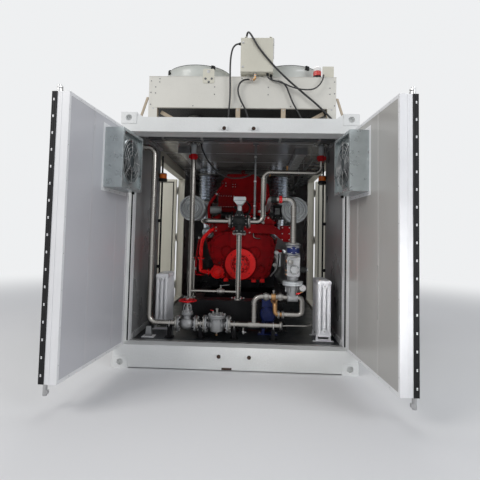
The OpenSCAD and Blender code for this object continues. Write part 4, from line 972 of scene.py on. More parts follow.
def gate_valve_detail():
    """Globe pattern cast body, bonnet with its bolts, yoke arms, gland and flanges."""
    s = Shape("gate_valve_body", slot="valve_silver")
    x, y, z = -531, TRAIN_Y, RUN_Z
    s.lathe((x - 84, y, z), RIGHT, mirrored([(42, 0), (42, 14), (52, 30), (64, 56), (68, 84)], 168), 36)
    for e in (-1, 1):
        flange_pair(s, (x + e * 91, y, z), (e, 0, 0), 82.5, 10)
    s.lathe((x, y, z), UP, [(44, 0), (44, 84), (60, 94), (62, 98), (62, 112), (60, 114), (60, 124), (46, 128),
            (30, 146), (26, 160), (26, 178)], 36)
    s.bolts((x, y, z + 124), UP, 52, 8, 13, first=0.5)
    s.bolts((x, y, z + 100), DOWN, 52, 8, 13, first=0.5)
    for e in (-1, 1):
        s.tube([(x + e * 34, y, z + 124), (x + e * 40, y, z + 160), (x + e * 32, y, z + 200),
                (x + e * 14, y, z + 214)], 8, 12, 20)
    s.lathe((x, y, z + 172), UP, [(34, 0), (36, 3), (36, 9), (20, 12)], 24, "cast_flange")
    for e in (-1, 1):
        s.cyl((x, y + e * 26, z + 160), (x, y + e * 26, z + 192), 4, 8, "zinc_steel")
    s.lathe((x, y, z + 200), UP, [(22, 0), (22, 14), (15, 18)], 24)
    s.cyl((x, y, z + 120), (x, y, z + 270), 10.6, 20, "zinc_steel")
    s.lathe((x, y, z + 256), UP, [(15, 0), (15, 9), (12, 12)], 6, "zinc_steel")
    # plain raised boss on the front
    s.lathe((x, y - 66, z), FORE, [(24, 0), (22, 3), (0, 4)], 24)
    s.done(bevel=0.8, segments=2, replaces=["gate_valve"])


def handwheel_detail():
    """Round rim, bent spokes and hub of the handwheel."""
    s = Shape("handwheel_rim", "handwheel", "wheel_red")
    x, y, z = -531, TRAIN_Y, 628
    s.ring((x, y, z), UP, 90, 9.5, 64, 14)
    for c, d in around(6):
        s.tube([(x + c * 16, y + d * 16, z - 14), (x + c * 52, y + d * 52, z - 6), (x + c * 88, y + d * 88, z)],
                5.6, 10, 14)
        s.lathe((x + c * 98, y + d * 98, z), (c, d, 0), [(7, -3), (7, 0), (4, 1.5)], 12)
    s.lathe((x, y, z - 25), UP, [(21, 0), (22, 3), (22, 30), (19, 36), (11.6, 38), (11.6, 0)], 28, closed=True)
    s.done(replaces=["gate_handwheel"])


def gas_filter_detail():
    """Filter pot with its lid, ribs, flanges, test cocks and drain."""
    s = Shape("gas_filter_body", slot="valve_silver")
    x, y, z = -208, TRAIN_Y, RUN_Z
    s.lathe((x - 108, y, z), RIGHT, mirrored([(46, 0), (46, 26), (58, 44)], 216), 32)
    s.lathe((x, y, z - 78), UP, [(52, 0), (70, 6), (76, 20), (78, 70), (80, 120), (84, 140), (96, 150),
            (97.5, 154), (97.5, 164), (94, 167)], 44)
    s.lathe((x, y, z + 89), UP, [(94, 0), (97.5, 3), (97.5, 13), (92, 16), (50, 20), (34, 28), (30, 34)], 44)
    s.bolts((x, y, z + 104), UP, 86, 10, 14, first=0.5)
    for c, d in around(10, first=0.5):
        s.slab(rect(76, -5, 92, 5), (x, y, z + 40), 30, (c, d, 0), (-d, c, 0))
    for e in (-1, 1):
        flange_pair(s, (x + e * 116, y, z), (e, 0, 0), 92.5, 10)
    # test cocks on the lid, and the drain cock below
    s.cyl((x, y, z + 118), (x, y, z + 160), 12, 16, "cast_flange")
    s.lathe((x, y, z + 150), UP, [(17, 0), (17, 14), (12, 18)], 6, "cast_flange")
    for e, h in ((-1, 34), (1, 24)):
        s.cyl((x + e * 40, y - 20, z + 108), (x + e * 40, y - 20, z + 108 + h), 7, 12, "cast_flange")
        s.slab(rect(-4, 0, 30, 7), (x + e * 40, y - 22, z + 108 + h), 5, (e, 0, 0.2), UP,
                "wheel_red" if e < 0 else "valve_black")
    s.cyl((x, y, z - 108), (x, y, z - 76), 9, 12, "cast_flange")
    s.lathe((x, y, z - 122), UP, collar(10, 14, 4, 16), 6, "brass")
    s.done(bevel=0.8, segments=2, replaces=["gas_filter"])


def gas_run_detail():
    """Unions, elbows' welds, drain cocks and saddles of the lower gas run."""
    s = Shape("gas_run_detail", slot="stainless")
    y = TRAIN_Y
    for x in (-865, -700, 20, 330):
        weld(s, (x, y, RUN_Z), RIGHT)
    for x, heights in ((-945, (470, 1100, 1750, 2214)), (190, (470, 604))):
        for z in heights:
            weld(s, (x, y, z), UP)
    # union couplings of the upper line, with a coppery one between them
    for x in (318, 470):
        s.lathe((x - 30, y, LINE_Z), RIGHT, [(34, 0), (38, 4), (38, 14)], 8, "cast_flange")
        s.lathe((x - 16, y, LINE_Z), RIGHT, collar(44, 47, 3, 26), 8, "cast_flange")
        s.lathe((x + 10, y, LINE_Z), RIGHT, [(38, 0), (38, 12), (34, 16)], 8, "cast_flange")
    s.lathe((372, y, LINE_Z), RIGHT, collar(33, 38, 4, 50), 28, "brass")
    s.cyl((398, y, LINE_Z + 34), (398, y, LINE_Z + 60), 10, 14, "cast_flange")
    s.lathe((398, y, LINE_Z + 58), UP, [(15, 0), (15, 12), (8, 16)], 6, "cast_flange")
    # end cap of the run with its small line
    s.lathe((462, y, RUN_Z), RIGHT, [(33, 0), (46, 4), (46, 20), (40, 26), (30, 34), (12, 38)], 28, "cast_flange")
    s.bolts((486, y, RUN_Z), RIGHT, 37, 4, 11, first=0.5)
    s.tube([(492, y, RUN_Z), (560, y, RUN_Z + 4), (760, y, RUN_Z + 6), (800, y + 40, RUN_Z + 6),
            (812, y + 120, RUN_Z + 2)], 9, 12, 26)
    # drain cocks
    for x in (-640, 78):
        s.cyl((x, y, RUN_Z - 30), (x, y, RUN_Z - 64), 9, 12, "cast_flange")
        s.lathe((x, y, RUN_Z - 64), DOWN, [(13, 0), (15, 4), (15, 16), (9, 20), (9, 34)], 12, "zinc_steel")
        s.plate(rect(-6, 0, 34, 6), (x, y - 16, RUN_Z - 78), 5, "zinc_steel")
    # U bolts over the run at its stands
    for x in (-720, -382, -20, 400):
        s.tube([(x, y - 34, RUN_Z - 42), (x, y - 34, RUN_Z + 6), (x, y - 20, RUN_Z + 34), (x, y + 20, RUN_Z + 34),
                (x, y + 34, RUN_Z + 6), (x, y + 34, RUN_Z - 42)], 4.5, 10, 26, "zinc_steel")
        for e in (-1, 1):
            s.bolt((x, y + e * 34, RUN_Z - 30), UP, 12)
    # collar of the inlet at the wall
    s.lathe((-1078, y, 2300), RIGHT, collar(33, 38, 3, 18), 28, "cast_flange")
    # white foot below the corner elbow
    s.box((-1010, y - 55, FLOOR_Z), (-880, y + 55, FLOOR_Z + 8), "white_trim")
    s.plate([(-36, 0), (36, 0), (24, 104), (-24, 104)], (-945, y + 18, FLOOR_Z + 8), 36, "valve_silver")
    s.done(bevel=0.5, segments=1)


def stack_detail():
    """Blue filter, double solenoid valve, regulator disc, cone, gauge and cocks."""
    s = Shape("gas_valve_stack_detail", slot="valve_silver")
    x, y = 600, TRAIN_Y
    s.lathe((x - 56, y, LINE_Z), RIGHT, collar(42, 46, 4, 112), 32)
    s.lathe((x, y, LINE_Z), UP, [(46, 0), (50, 40), (60, 90), (76, 128), (76, 134)], 40)
    for c, d in around(6):
        s.slab(rect(46, -3, 80, 3), (x, y, LINE_Z + 60), 68, (c, d, 0), (-d, c, 0))
    s.lathe((x, y, LINE_Z + 134), UP, [(98, 0), (108, 4), (108.5, 14), (106, 17), (106, 21), (108.5, 24),
            (108.5, 34), (100, 40), (62, 44)], 48, "filter_grey")
    s.bolts((x, y, LINE_Z + 170), UP, 99, 12, 12)
    s.lathe((x, y, LINE_Z + 172), UP, [(60, 0), (54, 20), (54, 44), (66, 52), (66, 60)], 32)
    # double valve block with its ribs, coils and side cover
    s.plate(both_sides([(60, 0), (68, 14), (68, 196), (60, 210)]), (x, y + 66, LINE_Z + 230), 132)
    for z in (LINE_Z + 262, LINE_Z + 336, LINE_Z + 408):
        s.box((x - 71, y - 69, z - 5), (x + 71, y + 69, z + 5))
    s.lathe((x + 10, y - 66, LINE_Z + 300), FORE, [(44, 0), (44, 14), (36, 20), (0, 22)], 32)
    s.bolts((x + 10, y - 80, LINE_Z + 300), FORE, 37, 6, 10)
    s.lathe((x - 30, y - 66, LINE_Z + 380), FORE, [(24, 0), (24, 26), (18, 30), (0, 31)], 24, "cast_flange")
    s.lathe((x + 68, y, LINE_Z + 300), RIGHT, [(34, 0), (34, 40), (30, 44), (30, 74), (24, 78), (0, 78)], 28,
            "valve_black")
    s.lathe((x + 146, y, LINE_Z + 300), RIGHT, [(14, 0), (22, 3), (22, 16), (0, 18)], 20)
    s.box((x - 92, y - 34, LINE_Z + 284), (x - 68, y + 34, LINE_Z + 352), "valve_black")
    for z in (LINE_Z + 250, LINE_Z + 290, LINE_Z + 392):
        s.lathe((x - 68, y - 44, z), LEFT, [(9, 0), (9, 12), (5, 16)], 12, "brass")
    # blue filter with its round cover
    s.lathe((x, y, LINE_Z + 440), UP, [(70, 0), (72, 4), (72, 14), (58, 18), (58, 28), (70, 36), (72, 60),
            (70, 94), (58, 102), (58, 112), (72, 116), (72, 126), (70, 130)], 40, "blue_paint")
    s.lathe((x, y - 60, LINE_Z + 505), FORE, [(40, 0), (40, 22), (34, 28), (0, 31)], 32, "blue_paint")
    s.bolts((x, y - 84, LINE_Z + 505), FORE, 30, 4, 10, first=0.5)
    s.slab(rect(0, -14, 30, 14), (x - 72, y + 10, LINE_Z + 490), 16, LEFT, UP, "filter_grey")
    for z in (LINE_Z + 440, LINE_Z + 570):
        s.lathe((x, y, z - 9), UP, collar(80, 82, 3, 18), 36, "cast_flange")
        s.bolts((x, y, z + 9), UP, 66, 4, 13, first=0.5)
    # welds and the red grooved coupling of the pipe above
    for z in (LINE_Z + 640, 1560, 1662):
        weld(s, (x, y, z), UP)
    weld(s, (518, y, RISE_Z), RIGHT)
    s.tube([(x, y, LINE_Z + 582), (x, y, RISE_Z), (x - 236, y, RISE_Z)], 30.7, 40, 80, "stainless")
    coupling(s, (456, y, RISE_Z), RIGHT, 36)
    s.lathe((352, y, RISE_Z), RIGHT, [(36, 0), (36, 62)], 24, "valve_black")
    # gauge with its dial, and the red cock
    gx, gz = 704, 797
    s.tube([(656, y - 16, 740), (690, y - 30, 752), (gx, y - 36, gz - 42)], 6, 10, 12, "brass")
    s.lathe((gx, y - 16, gz), FORE, [(30, 0), (36, 6), (37, 24), (35, 28), (33, 24)], 36, "zinc_steel")
    s.lathe((gx, y - 38, gz), FORE, [(33.5, 0), (33.5, 1.2)], 36, "dial_white")
    for degrees in range(225, -72, -27):
        c, d = math.cos(math.radians(degrees)), math.sin(math.radians(degrees))
        s.slab(rect(24, -0.8, 30, 0.8), (gx, y - 39.4, gz), 0.6, (c, 0, d), (d, 0, -c), "valve_black")
    s.slab([(-7, -1.4), (24, -0.5), (24, 0.5), (-7, 1.4)], (gx, y - 40.2, gz), 0.8, (0.5, 0, 0.86),
            (0.86, 0, -0.5), "valve_black")
    s.lathe((652, y - 40, 742), FORE, [(12, 0), (12, 20), (8, 24)], 14, "brass")
    s.slab(rect(-22, -7, 22, 7), (652, y - 66, 742), 7, (1, 0, 0.3), (-0.3, 0, 1), "wheel_red")
    s.done(bevel=0.7, segments=1)


def pump_detail():
    """Finned motor with its fan cowl, terminal box, and the brass elbow on the inlet."""
    s = Shape("circulation_pump_body", slot="blue_paint")
    x, y, z = 350, 560, 460
    s.lathe((x, y - 2, z), BACK, [(30, 0), (76, 1), (86, 8), (89, 20), (89, 44), (80, 48), (80, 152), (60, 156)],
            40)
    for k in range(5):
        s.ring((x, y - 3, z), BACK, 20 + k * 13, 2, 36, 6)
    for c, d in around(28):
        s.slab(rect(79, -1.6, 92, 1.6), (x, y + 48, z), 98, (c, 0, d), (d, 0, -c))
    s.box((x - 70, y + 20, z + 80), (x + 80, y + 120, z + 186))
    s.box((x - 74, y + 16, z + 184), (x + 84, y + 124, z + 192))
    for e in (-1, 1):
        s.screw((x + 5 + e * 70, y + 22, z + 192), UP, 5)
        s.plate(both_sides([(16, 0), (16, 150), (10, 160)]), (x + e * 52, y + 118, z - 228), 96)
        s.bolt((x + e * 92, y + 70, z - 216), UP, 16)
    s.box((x - 110, y + 20, z - 228), (x + 110, y + 120, z - 216))
    ty = TRAIN_Y
    s.tube([(520, ty, 505), (415, ty, 505), (415, ty, 620), (415, 592, 620)], 25, 20, 46, "brass")
    for px in (446, 486):
        s.lathe((px, ty, 505), RIGHT, collar(38, 42, 3, 18), 28, "cast_flange")
    s.bolts((504, ty, 505), RIGHT, 35, 4, 12, first=0.5)
    s.bolts((446, ty, 505), LEFT, 35, 4, 12, first=0.5)
    s.lathe((415, 560, 620), BACK, collar(34, 40, 4, 26), 8, "brass")
    s.done(bevel=0.8, segments=1, replaces=["circulation_pump"])


water_detail()
three_way_detail()
gate_valve_detail()
handwheel_detail()
gas_filter_detail()
gas_run_detail()
stack_detail()
pump_detail()


# Engine: crankshaft line, front of block and gear cover, damper's back, half bank angle, air filters
EX, CZ, BLOCK_Y, COVER_Y, DAMPER_Y, BANK = -20, 938, 1975, 1884.7, 1855, math.radians(32)
FILTER_X, FILTER_Z = 760, 1745
GEAR = [(-430, 960), (-459, 1080), (-459, 1306), (-325, 1397), (0, 1424), (262, 1409), (455, 1326), (464, 1056),
        (398, 770), (300, 716), (-211, 712), (-330, 760)]


def gear_cover_detail():
    """Cast front housing with its flange, bolts, round covers and stiffening ribs."""
    s = Shape("gear_cover_casting", slot="engine_red")
    outline = rounded(GEAR, 70)
    s.plate(rounded(inset(GEAR, -10), 70), (0, BLOCK_Y - 0.3, 0), 18)
    s.plate(outline, (0, BLOCK_Y - 18, 0), 72)
    s.plate(inset(outline, 46), (0, COVER_Y + 1, 0), 9)
    for p in spread(inset(outline, 20), 92):
        s.lathe((p.x, COVER_Y + 1, p.y), FORE, [(17, -6), (17, 4), (14, 6)], 14)
        s.bolt((p.x, COVER_Y - 5, p.y), FORE, 17, "engine_red")
    face = COVER_Y - 8
    s.lathe((EX, face + 2, CZ), FORE, [(238, 0), (238, 10), (230, 14), (224, 10), (224, 2)], 56, closed=True)
    for cx, cz, r, h, n in ((176, 1096, 88, 20, 6), (-226, 1112, 78, 16, 6), (282, 873, 46, 26, 3),
            (-330, 945, 58, 22, 4), (-30, 1330, 52, 12, 4)):
        s.lathe((cx, face + 1, cz), FORE, [(r + 8, 0), (r + 4, 5), (r, 5), (r, h), (r - 5, h + 4),
                (r * 0.6, h + 4), (r * 0.55, h), (0, h)], 36)
        s.bolts((cx, face - h - 3, cz), FORE, r * 0.78, n, 13, "engine_red", first=0.5)
    s.lathe((-330, face - 24, 945), FORE, [(14, 0), (14, 3), (0, 3)], 16, "valve_black")
    for a, b in (((-120, 1200), (60, 1180)), ((300, 1010), (400, 1040)), ((-400, 1180), (-310, 1150)),
            ((110, 1250), (180, 1350)), ((-180, 1210), (-200, 1360)), ((260, 960), (330, 900))):
        a, b = Vector(a), Vector(b)
        d = (b - a).normalized()
        n = Vector((-d.y, d.x)) * 6
        s.plate([tuple(a - n), tuple(b - n), tuple(b + n), tuple(a + n)], (0, face + 1, 0), 9)
    # feet of the housing and the front mount
    for cx in (-230, 176, 300):
        s.plate(rounded([(-38, -30), (38, -30), (30, 26), (-30, 26)], 14),
                (cx, COVER_Y + 44, 704), 46, "pump_red")
    # dipstick tube and its bracket
    s.tube([(159, 1866, 1432), (159, 1862, 1370), (166, 1860, 1326), (200, 1860, 1314), (256, 1864, 1312),
            (262, 1884, 1310)], 8, 12, 20, "stainless")
    s.box((150, 1874, 1418), (168, 1886, 1452), "zinc_steel")
    s.done(bevel=2.2, segments=2, replaces=["gear_cover"])


def damper_detail():
    """Rim, web, hub and bolts of the crank damper."""
    s = Shape("damper_disc", "damper", "engine_red")
    s.lathe((EX, DAMPER_Y, CZ), FORE, [(34.6, -60), (34.6, 0), (212, 0), (222, 4), (223, 10), (223, 26),
            (218, 28), (218, 31), (223, 33), (223, 50), (218, 55), (146, 55), (140, 51), (138, 40), (98, 38),
            (94, 42), (62, 43), (58, 58), (50, 60), (0, 60)], 72, "pump_red")
    # the recessed web between rim and hub, in the darker red as painted shade in the recess
    s.lathe((EX, DAMPER_Y - 38.4, CZ), FORE, [(136, 0), (136, 1.0), (99, 1.0), (99, 0)], 72, closed=True)
    s.bolts((EX, DAMPER_Y - 39.4, CZ), FORE, 117, 10, 20, "pump_red", first=0.5)
    s.bolts((EX, DAMPER_Y - 43, CZ), FORE, 77, 6, 17, "engine_red")
    s.lathe((EX, DAMPER_Y - 59.5, CZ), FORE, [(24, 0), (24, 6), (18, 8), (0, 8)], 6)
    for c, d in around(4, first=0.5):
        s.lathe((EX + 184 * c, DAMPER_Y - 54.5, CZ + 184 * d), FORE, [(9, 0), (8, 1.6), (0, 1.6)], 16)
    s.done(bevel=0.8, segments=1, replaces=["crank_damper"])


def pump_and_pipes():
    """Coolant pump, its pipe up to the left bank, and the breather pipe."""
    s = Shape("water_pump_casting", slot="engine_red")
    x, y, z = -355, COVER_Y - 0.3, 813
    s.lathe((x, y, z), FORE, [(92, 0), (97, 6), (97, 20), (88, 30), (95, 40), (92, 56), (74, 64), (56, 66),
            (52, 78), (30, 84), (0, 84)], 44, "pump_red")
    s.bolts((x, y - 52, z), FORE, 78, 8, 14, "pump_red")
    s.lathe((x + 66, y - 6, z - 44), (0.6, 0, -0.8), [(30, 0), (36, 20), (36, 34), (26, 40)], 20, "pump_red")
    for dx, dz in ((52, 74), (-40, 82), (84, -10)):
        s.lathe((x + dx, y, z + dz), FORE, [(20, 0), (20, 40), (16, 44), (0, 44)], 16, "pump_red")
    c = COVER_Y - 40
    s.tube([(x - 40, c, 813), (-540, c, 813), (-597, c, 830), (-597, c, 1180), (-590, c, 1240), (-560, c, 1320),
            (-462, c, 1418), (-432, c + 6, 1442), (-430, c + 60, 1440), (-430, 2034, 1440)],
            27, 24, 60, "pump_red")
    for p, d in (((-482, c, 813), RIGHT), ((-597, c, 1010), UP), ((-430, 2022, 1440), BACK)):
        s.lathe(Vector(p) - Vector(d) * 12, d, mirrored([(29, 0), (44, 2), (46, 6)], 26), 28, "pump_red")
        s.bolts(Vector(p) - Vector(d) * 12, Vector(d) * -1, 37, 4, 11, first=0.5)
    # thinner pipe outside it, down to the skid
    s.tube([(-628, 1900, 1300), (-662, 1900, 1106), (-679, 1900, 900), (-679, 1900, 800), (-660, 1920, 760),
            (-560, 1960, 760)], 15, 14, 40)
    s.lathe((-679, 1900, 838), UP, [(24, 0), (24, 34)], 6, "cast_flange")
    s.lathe((-628, 1900, 1290), (-0.2, 0, 1), [(22, 0), (22, 26), (12, 34)], 12, "cast_flange")
    # breather pipe with its end flanges and clamp
    b = BLOCK_Y + 30
    s.tube([(-300, BLOCK_Y + 119, 2122), (-300, b, 2122), (-316, b, 2096), (-505, b, 1830), (-523, b, 1780),
            (-522, b, 1700), (-508, b, 1590), (-505, b + 8, 1556), (-505, BLOCK_Y + 79, 1556)], 22, 22, 44)
    s.lathe((-300, BLOCK_Y + 108, 2122), BACK, [(23, 0), (40, 1), (40, 11), (38, 12)], 28)
    s.bolts((-300, BLOCK_Y + 108, 2122), FORE, 32, 4, 10, first=0.5)
    s.lathe((-400, b, 1978), (-0.58, 0, -0.81), collar(24, 28, 2, 24), 24, "zinc_steel")
    s.lathe((-505, BLOCK_Y + 68, 1556), BACK, [(23, 0), (38, 1), (38, 11), (36, 12)], 28)
    s.done(bevel=0.8, segments=1, replaces=["water_pump"])


def intake_detail():
    """Ribs and bolts of the charge cooler, bolted rim of the housing, clamps of the water rail."""
    s = Shape("intake_detail", slot="engine_red")
    for i in range(10):
        u = -368 + i * 23.6
        s.box((u, 1957, 1797), (u + 8, 1966, 1915))
    s.box((-384, 1958, 1779), (-136, 2090, 1791))
    s.box((-384, 1958, 1921), (-136, 2090, 1932))
    for i in range(7):
        for zz, d in ((1779, -1), (1932, 1)):
            s.bolt((-370 + i * 37, 1968, zz), (0, 0, d), 12)
    face = [(-336, 1700), (-336, 1812), (-381, 1940), (-352, 2150), (-258, 2278), (176, 2278), (380, 2128),
            (402, 1840), (402, 1700)]
    inner = rounded(inset(face, 34), 40)
    rim = rounded(face, 26)
    s.plate(rim, (0, 2096, 0), 7)
    s.plate(inner, (0, 2090, 0), 5)
    for p in spread(inset(rim, 16), 105):
        s.bolt((p.x, 2089, p.y), FORE, 14, "engine_red")
    s.plate(rect(-3, 0, 3, 310), (-188, 2086, 1945), 6)
    s.plate(rect(-3, 0, 3, 300), (300, 2086, 1760), 6)
    s.lathe((-150, 2086, 2108), FORE, [(34, 0), (34, 12), (26, 16), (0, 16)], 28)
    s.bolts((-150, 2073, 2108), FORE, 25, 4, 9, first=0.5)
    # lifting eyes on top of the housing
    for y in (2170, 2900):
        s.lathe((-20, y, 2288), UP, [(22, 0), (22, 12), (14, 16)], 20)
        s.ring((-20, y, 2332), BACK, 20, 7, 24, 10)
    # throttle body, actuator and linkage below the charge cooler
    s.lathe((-330, 2010, 1650), RIGHT, mirrored([(50, 0), (66, 4), (66, 18), (48, 24)], 174), 28, "valve_black")
    s.bolts((-312, 2010, 1650), LEFT, 57, 6, 13)
    s.box((-130, 1960, 1600), (0, 2060, 1690), "valve_black")
    s.lathe((-65, 1990, 1690), UP, [(38, 0), (38, 46), (28, 54), (0, 54)], 24, "valve_black")
    s.tube([(-60, 1962, 1640), (-60, 1930, 1640), (60, 1930, 1600), (150, 1950, 1560)], 9, 12, 26, "seal_rubber")
    s.tube([(-250, 1960, 1640), (-250, 1925, 1610), (-180, 1925, 1560), (-40, 1950, 1530)], 12,
            12, 30, "zinc_steel")
    s.tube([(10, 1990, 1660), (90, 1960, 1680), (110, 1960, 1780), (60, 2060, 1850)], 14, 14, 34, "seal_rubber")
    for i, (px, pz) in enumerate(((40, 1560), (120, 1640), (-120, 1770), (20, 1740))):
        s.lathe((px, 2030, pz), FORE, [(26, 0), (26, 24), (18, 30), (0, 30)], 20,
                "engine_red" if i % 2 else "valve_black")
    # gas mixer on the right
    s.lathe((520, 2060, 1600), UP, [(60, 0), (86, 4), (86, 22), (70, 26), (70, 190), (84, 196), (84, 214),
            (58, 220)], 32, "valve_black")
    s.bolts((520, 2060, 1622), UP, 78, 6, 13)
    for zz in (1690, 1722, 1754):
        s.lathe((470, 1990, zz), RIGHT, [(15, 0), (19, 2), (19, 12), (15, 14), (15, 76)], 18, "trunking_grey")
    s.tube([(480, 2000, 1690), (400, 1995, 1670), (300, 2010, 1600), (240, 2040, 1560)], 22,
            16, 50, "seal_rubber")
    # red pipe bends between the rail and the right bank
    s.tube([(240, 1990, 1660), (252, 1960, 1740), (210, 1955, 1830), (150, 2070, 1860)], 30, 18, 60)
    s.lathe((250, 1962, 1700), (0.1, -0.1, 1), [(33, 0), (33, 30)], 24, "zinc_steel")
    # clamps and bosses of the water rail
    for px, pz in ((-45, 1443), (104, 1448)):
        s.plate(rounded(rect(-9, -66, 9, 66), 3), (px, 1818, pz), 5)
        for dz in (-52, 52):
            s.bolt((px, 1813, pz + dz), FORE, 13)
    s.plate(rounded(rect(-64, -100, 64, 100), 14), (626, 1820, 1390), 8)
    for dx, dz in pairs((-50, 50), (-86, 0, 86)):
        s.bolt((626 + dx, 1812, 1390 + dz), FORE, 12)
    s.plate(rounded([(268, 1514), (454, 1514), (454, 1552), (374, 1650), (300, 1610), (268, 1560)], 12),
            (0, 1912, 0), 34)
    s.bolt((372, 1878, 1616), FORE, 16)
    s.lathe((300, 1878, 1545), FORE, [(20, 0), (20, 16), (12, 20), (0, 20)], 20, "zinc_steel")
    s.done(bevel=1.0, segments=1)


def bank_detail(side):
    """Rocker covers, their bolts, exhaust flanges and coolant outlets of one cylinder bank."""
    e = 1 if side == "right" else -1
    s = Shape(side + "_bank_detail", slot="engine_red",
            place=Matrix.Translation((EX, 0, CZ)) @ Matrix.Rotation(e * BANK, 4, "Y"))
    for i in range(6):
        y = BLOCK_Y + 80 + i * 272 + 120
        s.slab(rounded(rect(-110, -125, 110, 125), 22), (0, y, 738), 14, RIGHT, BACK)
        s.slab(rounded(rect(-88, -104, 88, 104), 26), (0, y, 799), 9, RIGHT, BACK)
        for dx, dy in pairs((-97, 97), (-108, 0, 108)):
            s.bolt((dx, y + dy, 752), UP, 14)
        s.lathe((0, y, 808), UP, [(24, 0), (24, 10), (17, 14), (17, 26), (0, 26)], 20, "valve_black")
        s.slab(rounded(rect(-56, -44, 56, 44), 12), (e * 130, y, 660), 12, (0, e, 0), UP)
        s.lathe((e * 140, y, 660), (e, 0, 0), [(34, 0), (34, 50)], 20, "bellows_steel")
        for dy in (-44, 44):
            s.bolt((e * 142, y + dy, 660), (e, 0, 0), 13)
    s.plate(rounded(rect(-118, 540, 118, 728), 20), (0, BLOCK_Y + 61, 0), 8)
    for dx, dz in pairs((-100, 0, 100), (560, 708)):
        s.bolt((dx, BLOCK_Y + 53, dz), FORE, 14, "engine_red")
    s.done(bevel=2.0, segments=2)


def crankcase_detail():
    """Side doors of the crankcase, oil filters, mounts and sump bolts."""
    s = Shape("crankcase_detail", slot="engine_red")
    for e in (-1, 1):
        up = Vector((e * 0.2, 0, 0.98)).normalized()
        out = Vector((e * 0.98, 0, -0.2)).normalized()
        for i in range(6):
            y = BLOCK_Y + 175 + i * 275
            p = Vector((EX + e * 470, y, CZ + 120)) + up * 200
            s.slab(rounded(rect(-105, -120, 105, 120), 30), p, 14, (0, e, 0), up)
            for du, dv in pairs((-92, 92), (-105, 0, 105)):
                s.bolt(p + Vector((0, e * du, 0)) + up * dv + out * 14, out, 14, "engine_red")
            q = Vector((EX + e * 430, y, CZ + 28))
            d = Vector((e * 0.91, 0, -0.41))
            s.lathe(q, d, [(58, -6), (58, 10), (50, 16), (0, 16)], 28)
            s.bolts(q + d * 13, d, 50, 4, 12, first=0.5)
        s.box((EX + e * 262, BLOCK_Y + 4, CZ - 342), (EX + e * 350, BLOCK_Y + 1746, CZ - 330), "skid_black")
        for y in (BLOCK_Y + 170, BLOCK_Y + 1560):
            for dx in (-60, 60):
                s.bolt((EX + e * 410 + dx, y - 50, 700), (0, -0.02, 1), 26)
            s.box((EX + e * 410 - 100, y - 80, 575.6), (EX + e * 410 + 100, y + 80, 600), "skid_black")
    for i in range(4):
        y = 2330 + i * 150
        s.lathe((EX + 560, y, CZ - 60), UP, [(40, 0), (50, 8), (50, 190), (44, 200), (58, 206), (58, 226),
                (30, 232)], 28, "filter_grey")
    s.box((EX + 440, 2270, CZ + 166), (EX + 622, 2850, CZ + 196))
    # starter motor low on the left
    s.cyl((EX - 500, 3200, CZ - 90), (EX - 500, 3560, CZ - 90), 72, 32, "skid_black")
    s.cyl((EX - 470, 3260, CZ + 10), (EX - 470, 3440, CZ + 10), 34, 24, "skid_black")
    s.lathe((EX - 500, 3560, CZ - 90), BACK, [(84, 0), (84, 26), (60, 60)], 32)
    # pipes and wires beside the gear housing, seen to the right of it
    s.tube([(470, 1930, 1060), (520, 1940, 1000), (500, 1960, 860), (420, 1980, 760)], 11, 12, 40, "zinc_steel")
    s.tube([(480, 1940, 1150), (545, 1950, 1080), (530, 1960, 900), (470, 1990, 800)], 8, 12, 40, "seal_rubber")
    s.lathe((500, 1960, 1110), FORE, [(34, 0), (34, 40), (26, 46), (0, 46)], 24, "zinc_steel")
    s.lathe((478, 1960, 930), FORE, [(26, 0), (26, 34), (0, 36)], 20, "cast_flange")
    s.done(bevel=1.5, segments=1)


def exhaust_detail():
    """Manifolds with their clamps, and the bellows with their convolutions."""
    s = Shape("exhaust_pipes", slot="stainless")
    for e in (-1, 1):
        to = Matrix.Translation((EX, 0, CZ)) @ Matrix.Rotation(e * BANK, 4, "Y")
        a, b = to @ Vector((e * 205.3, BLOCK_Y + 80, 660)), to @ Vector((e * 205.3, 2600, 660))
        x, y = EX + e * 600, 2700
        s.tube([a, b, (x - e * 30, y, b.z + 40), (x, y, b.z + 170), (x, y, 1890)], 75, 32, 110, "bellows_steel")
        s.lathe(a, FORE, [(75, 0), (72, 14), (50, 26), (0, 30)], 32, "bellows_steel")
        for i in range(3):
            c = a.lerp(b, 0.25 + i * 0.3)
            s.lathe(c, BACK, mirrored([(76, 0), (88, 3), (88, 9), (84, 12)], 24), 36, "cast_flange")
        profile = [(110, 0)]
        for k in range(9 * 10 + 1):
            profile.append((122 + 27 * (0.5 - 0.5 * math.cos(2 * math.pi * k / 10)), 6 + 438 * k / 90))
        s.lathe((x, y, 1900), UP, profile + [(110, 450)], 48, "bellows_steel")
        for z in (1880, 2344):
            s.lathe((x, y, z), UP, mirrored([(100, 0), (168, 0), (170, 2)], 18), 48, "cast_flange")
            s.bolts((x, y, z if z < 2000 else z + 18), (0, 0, -1 if z < 2000 else 1), 155, 8, 18)
        s.lathe((x, y, 2362), UP, [(150, 0), (150, 60), (180, 62), (180, CEILING_Z - 2362)], 48, "bellows_steel")
    s.done(bevel=0.6, segments=1, replaces=["exhaust_bellows"])


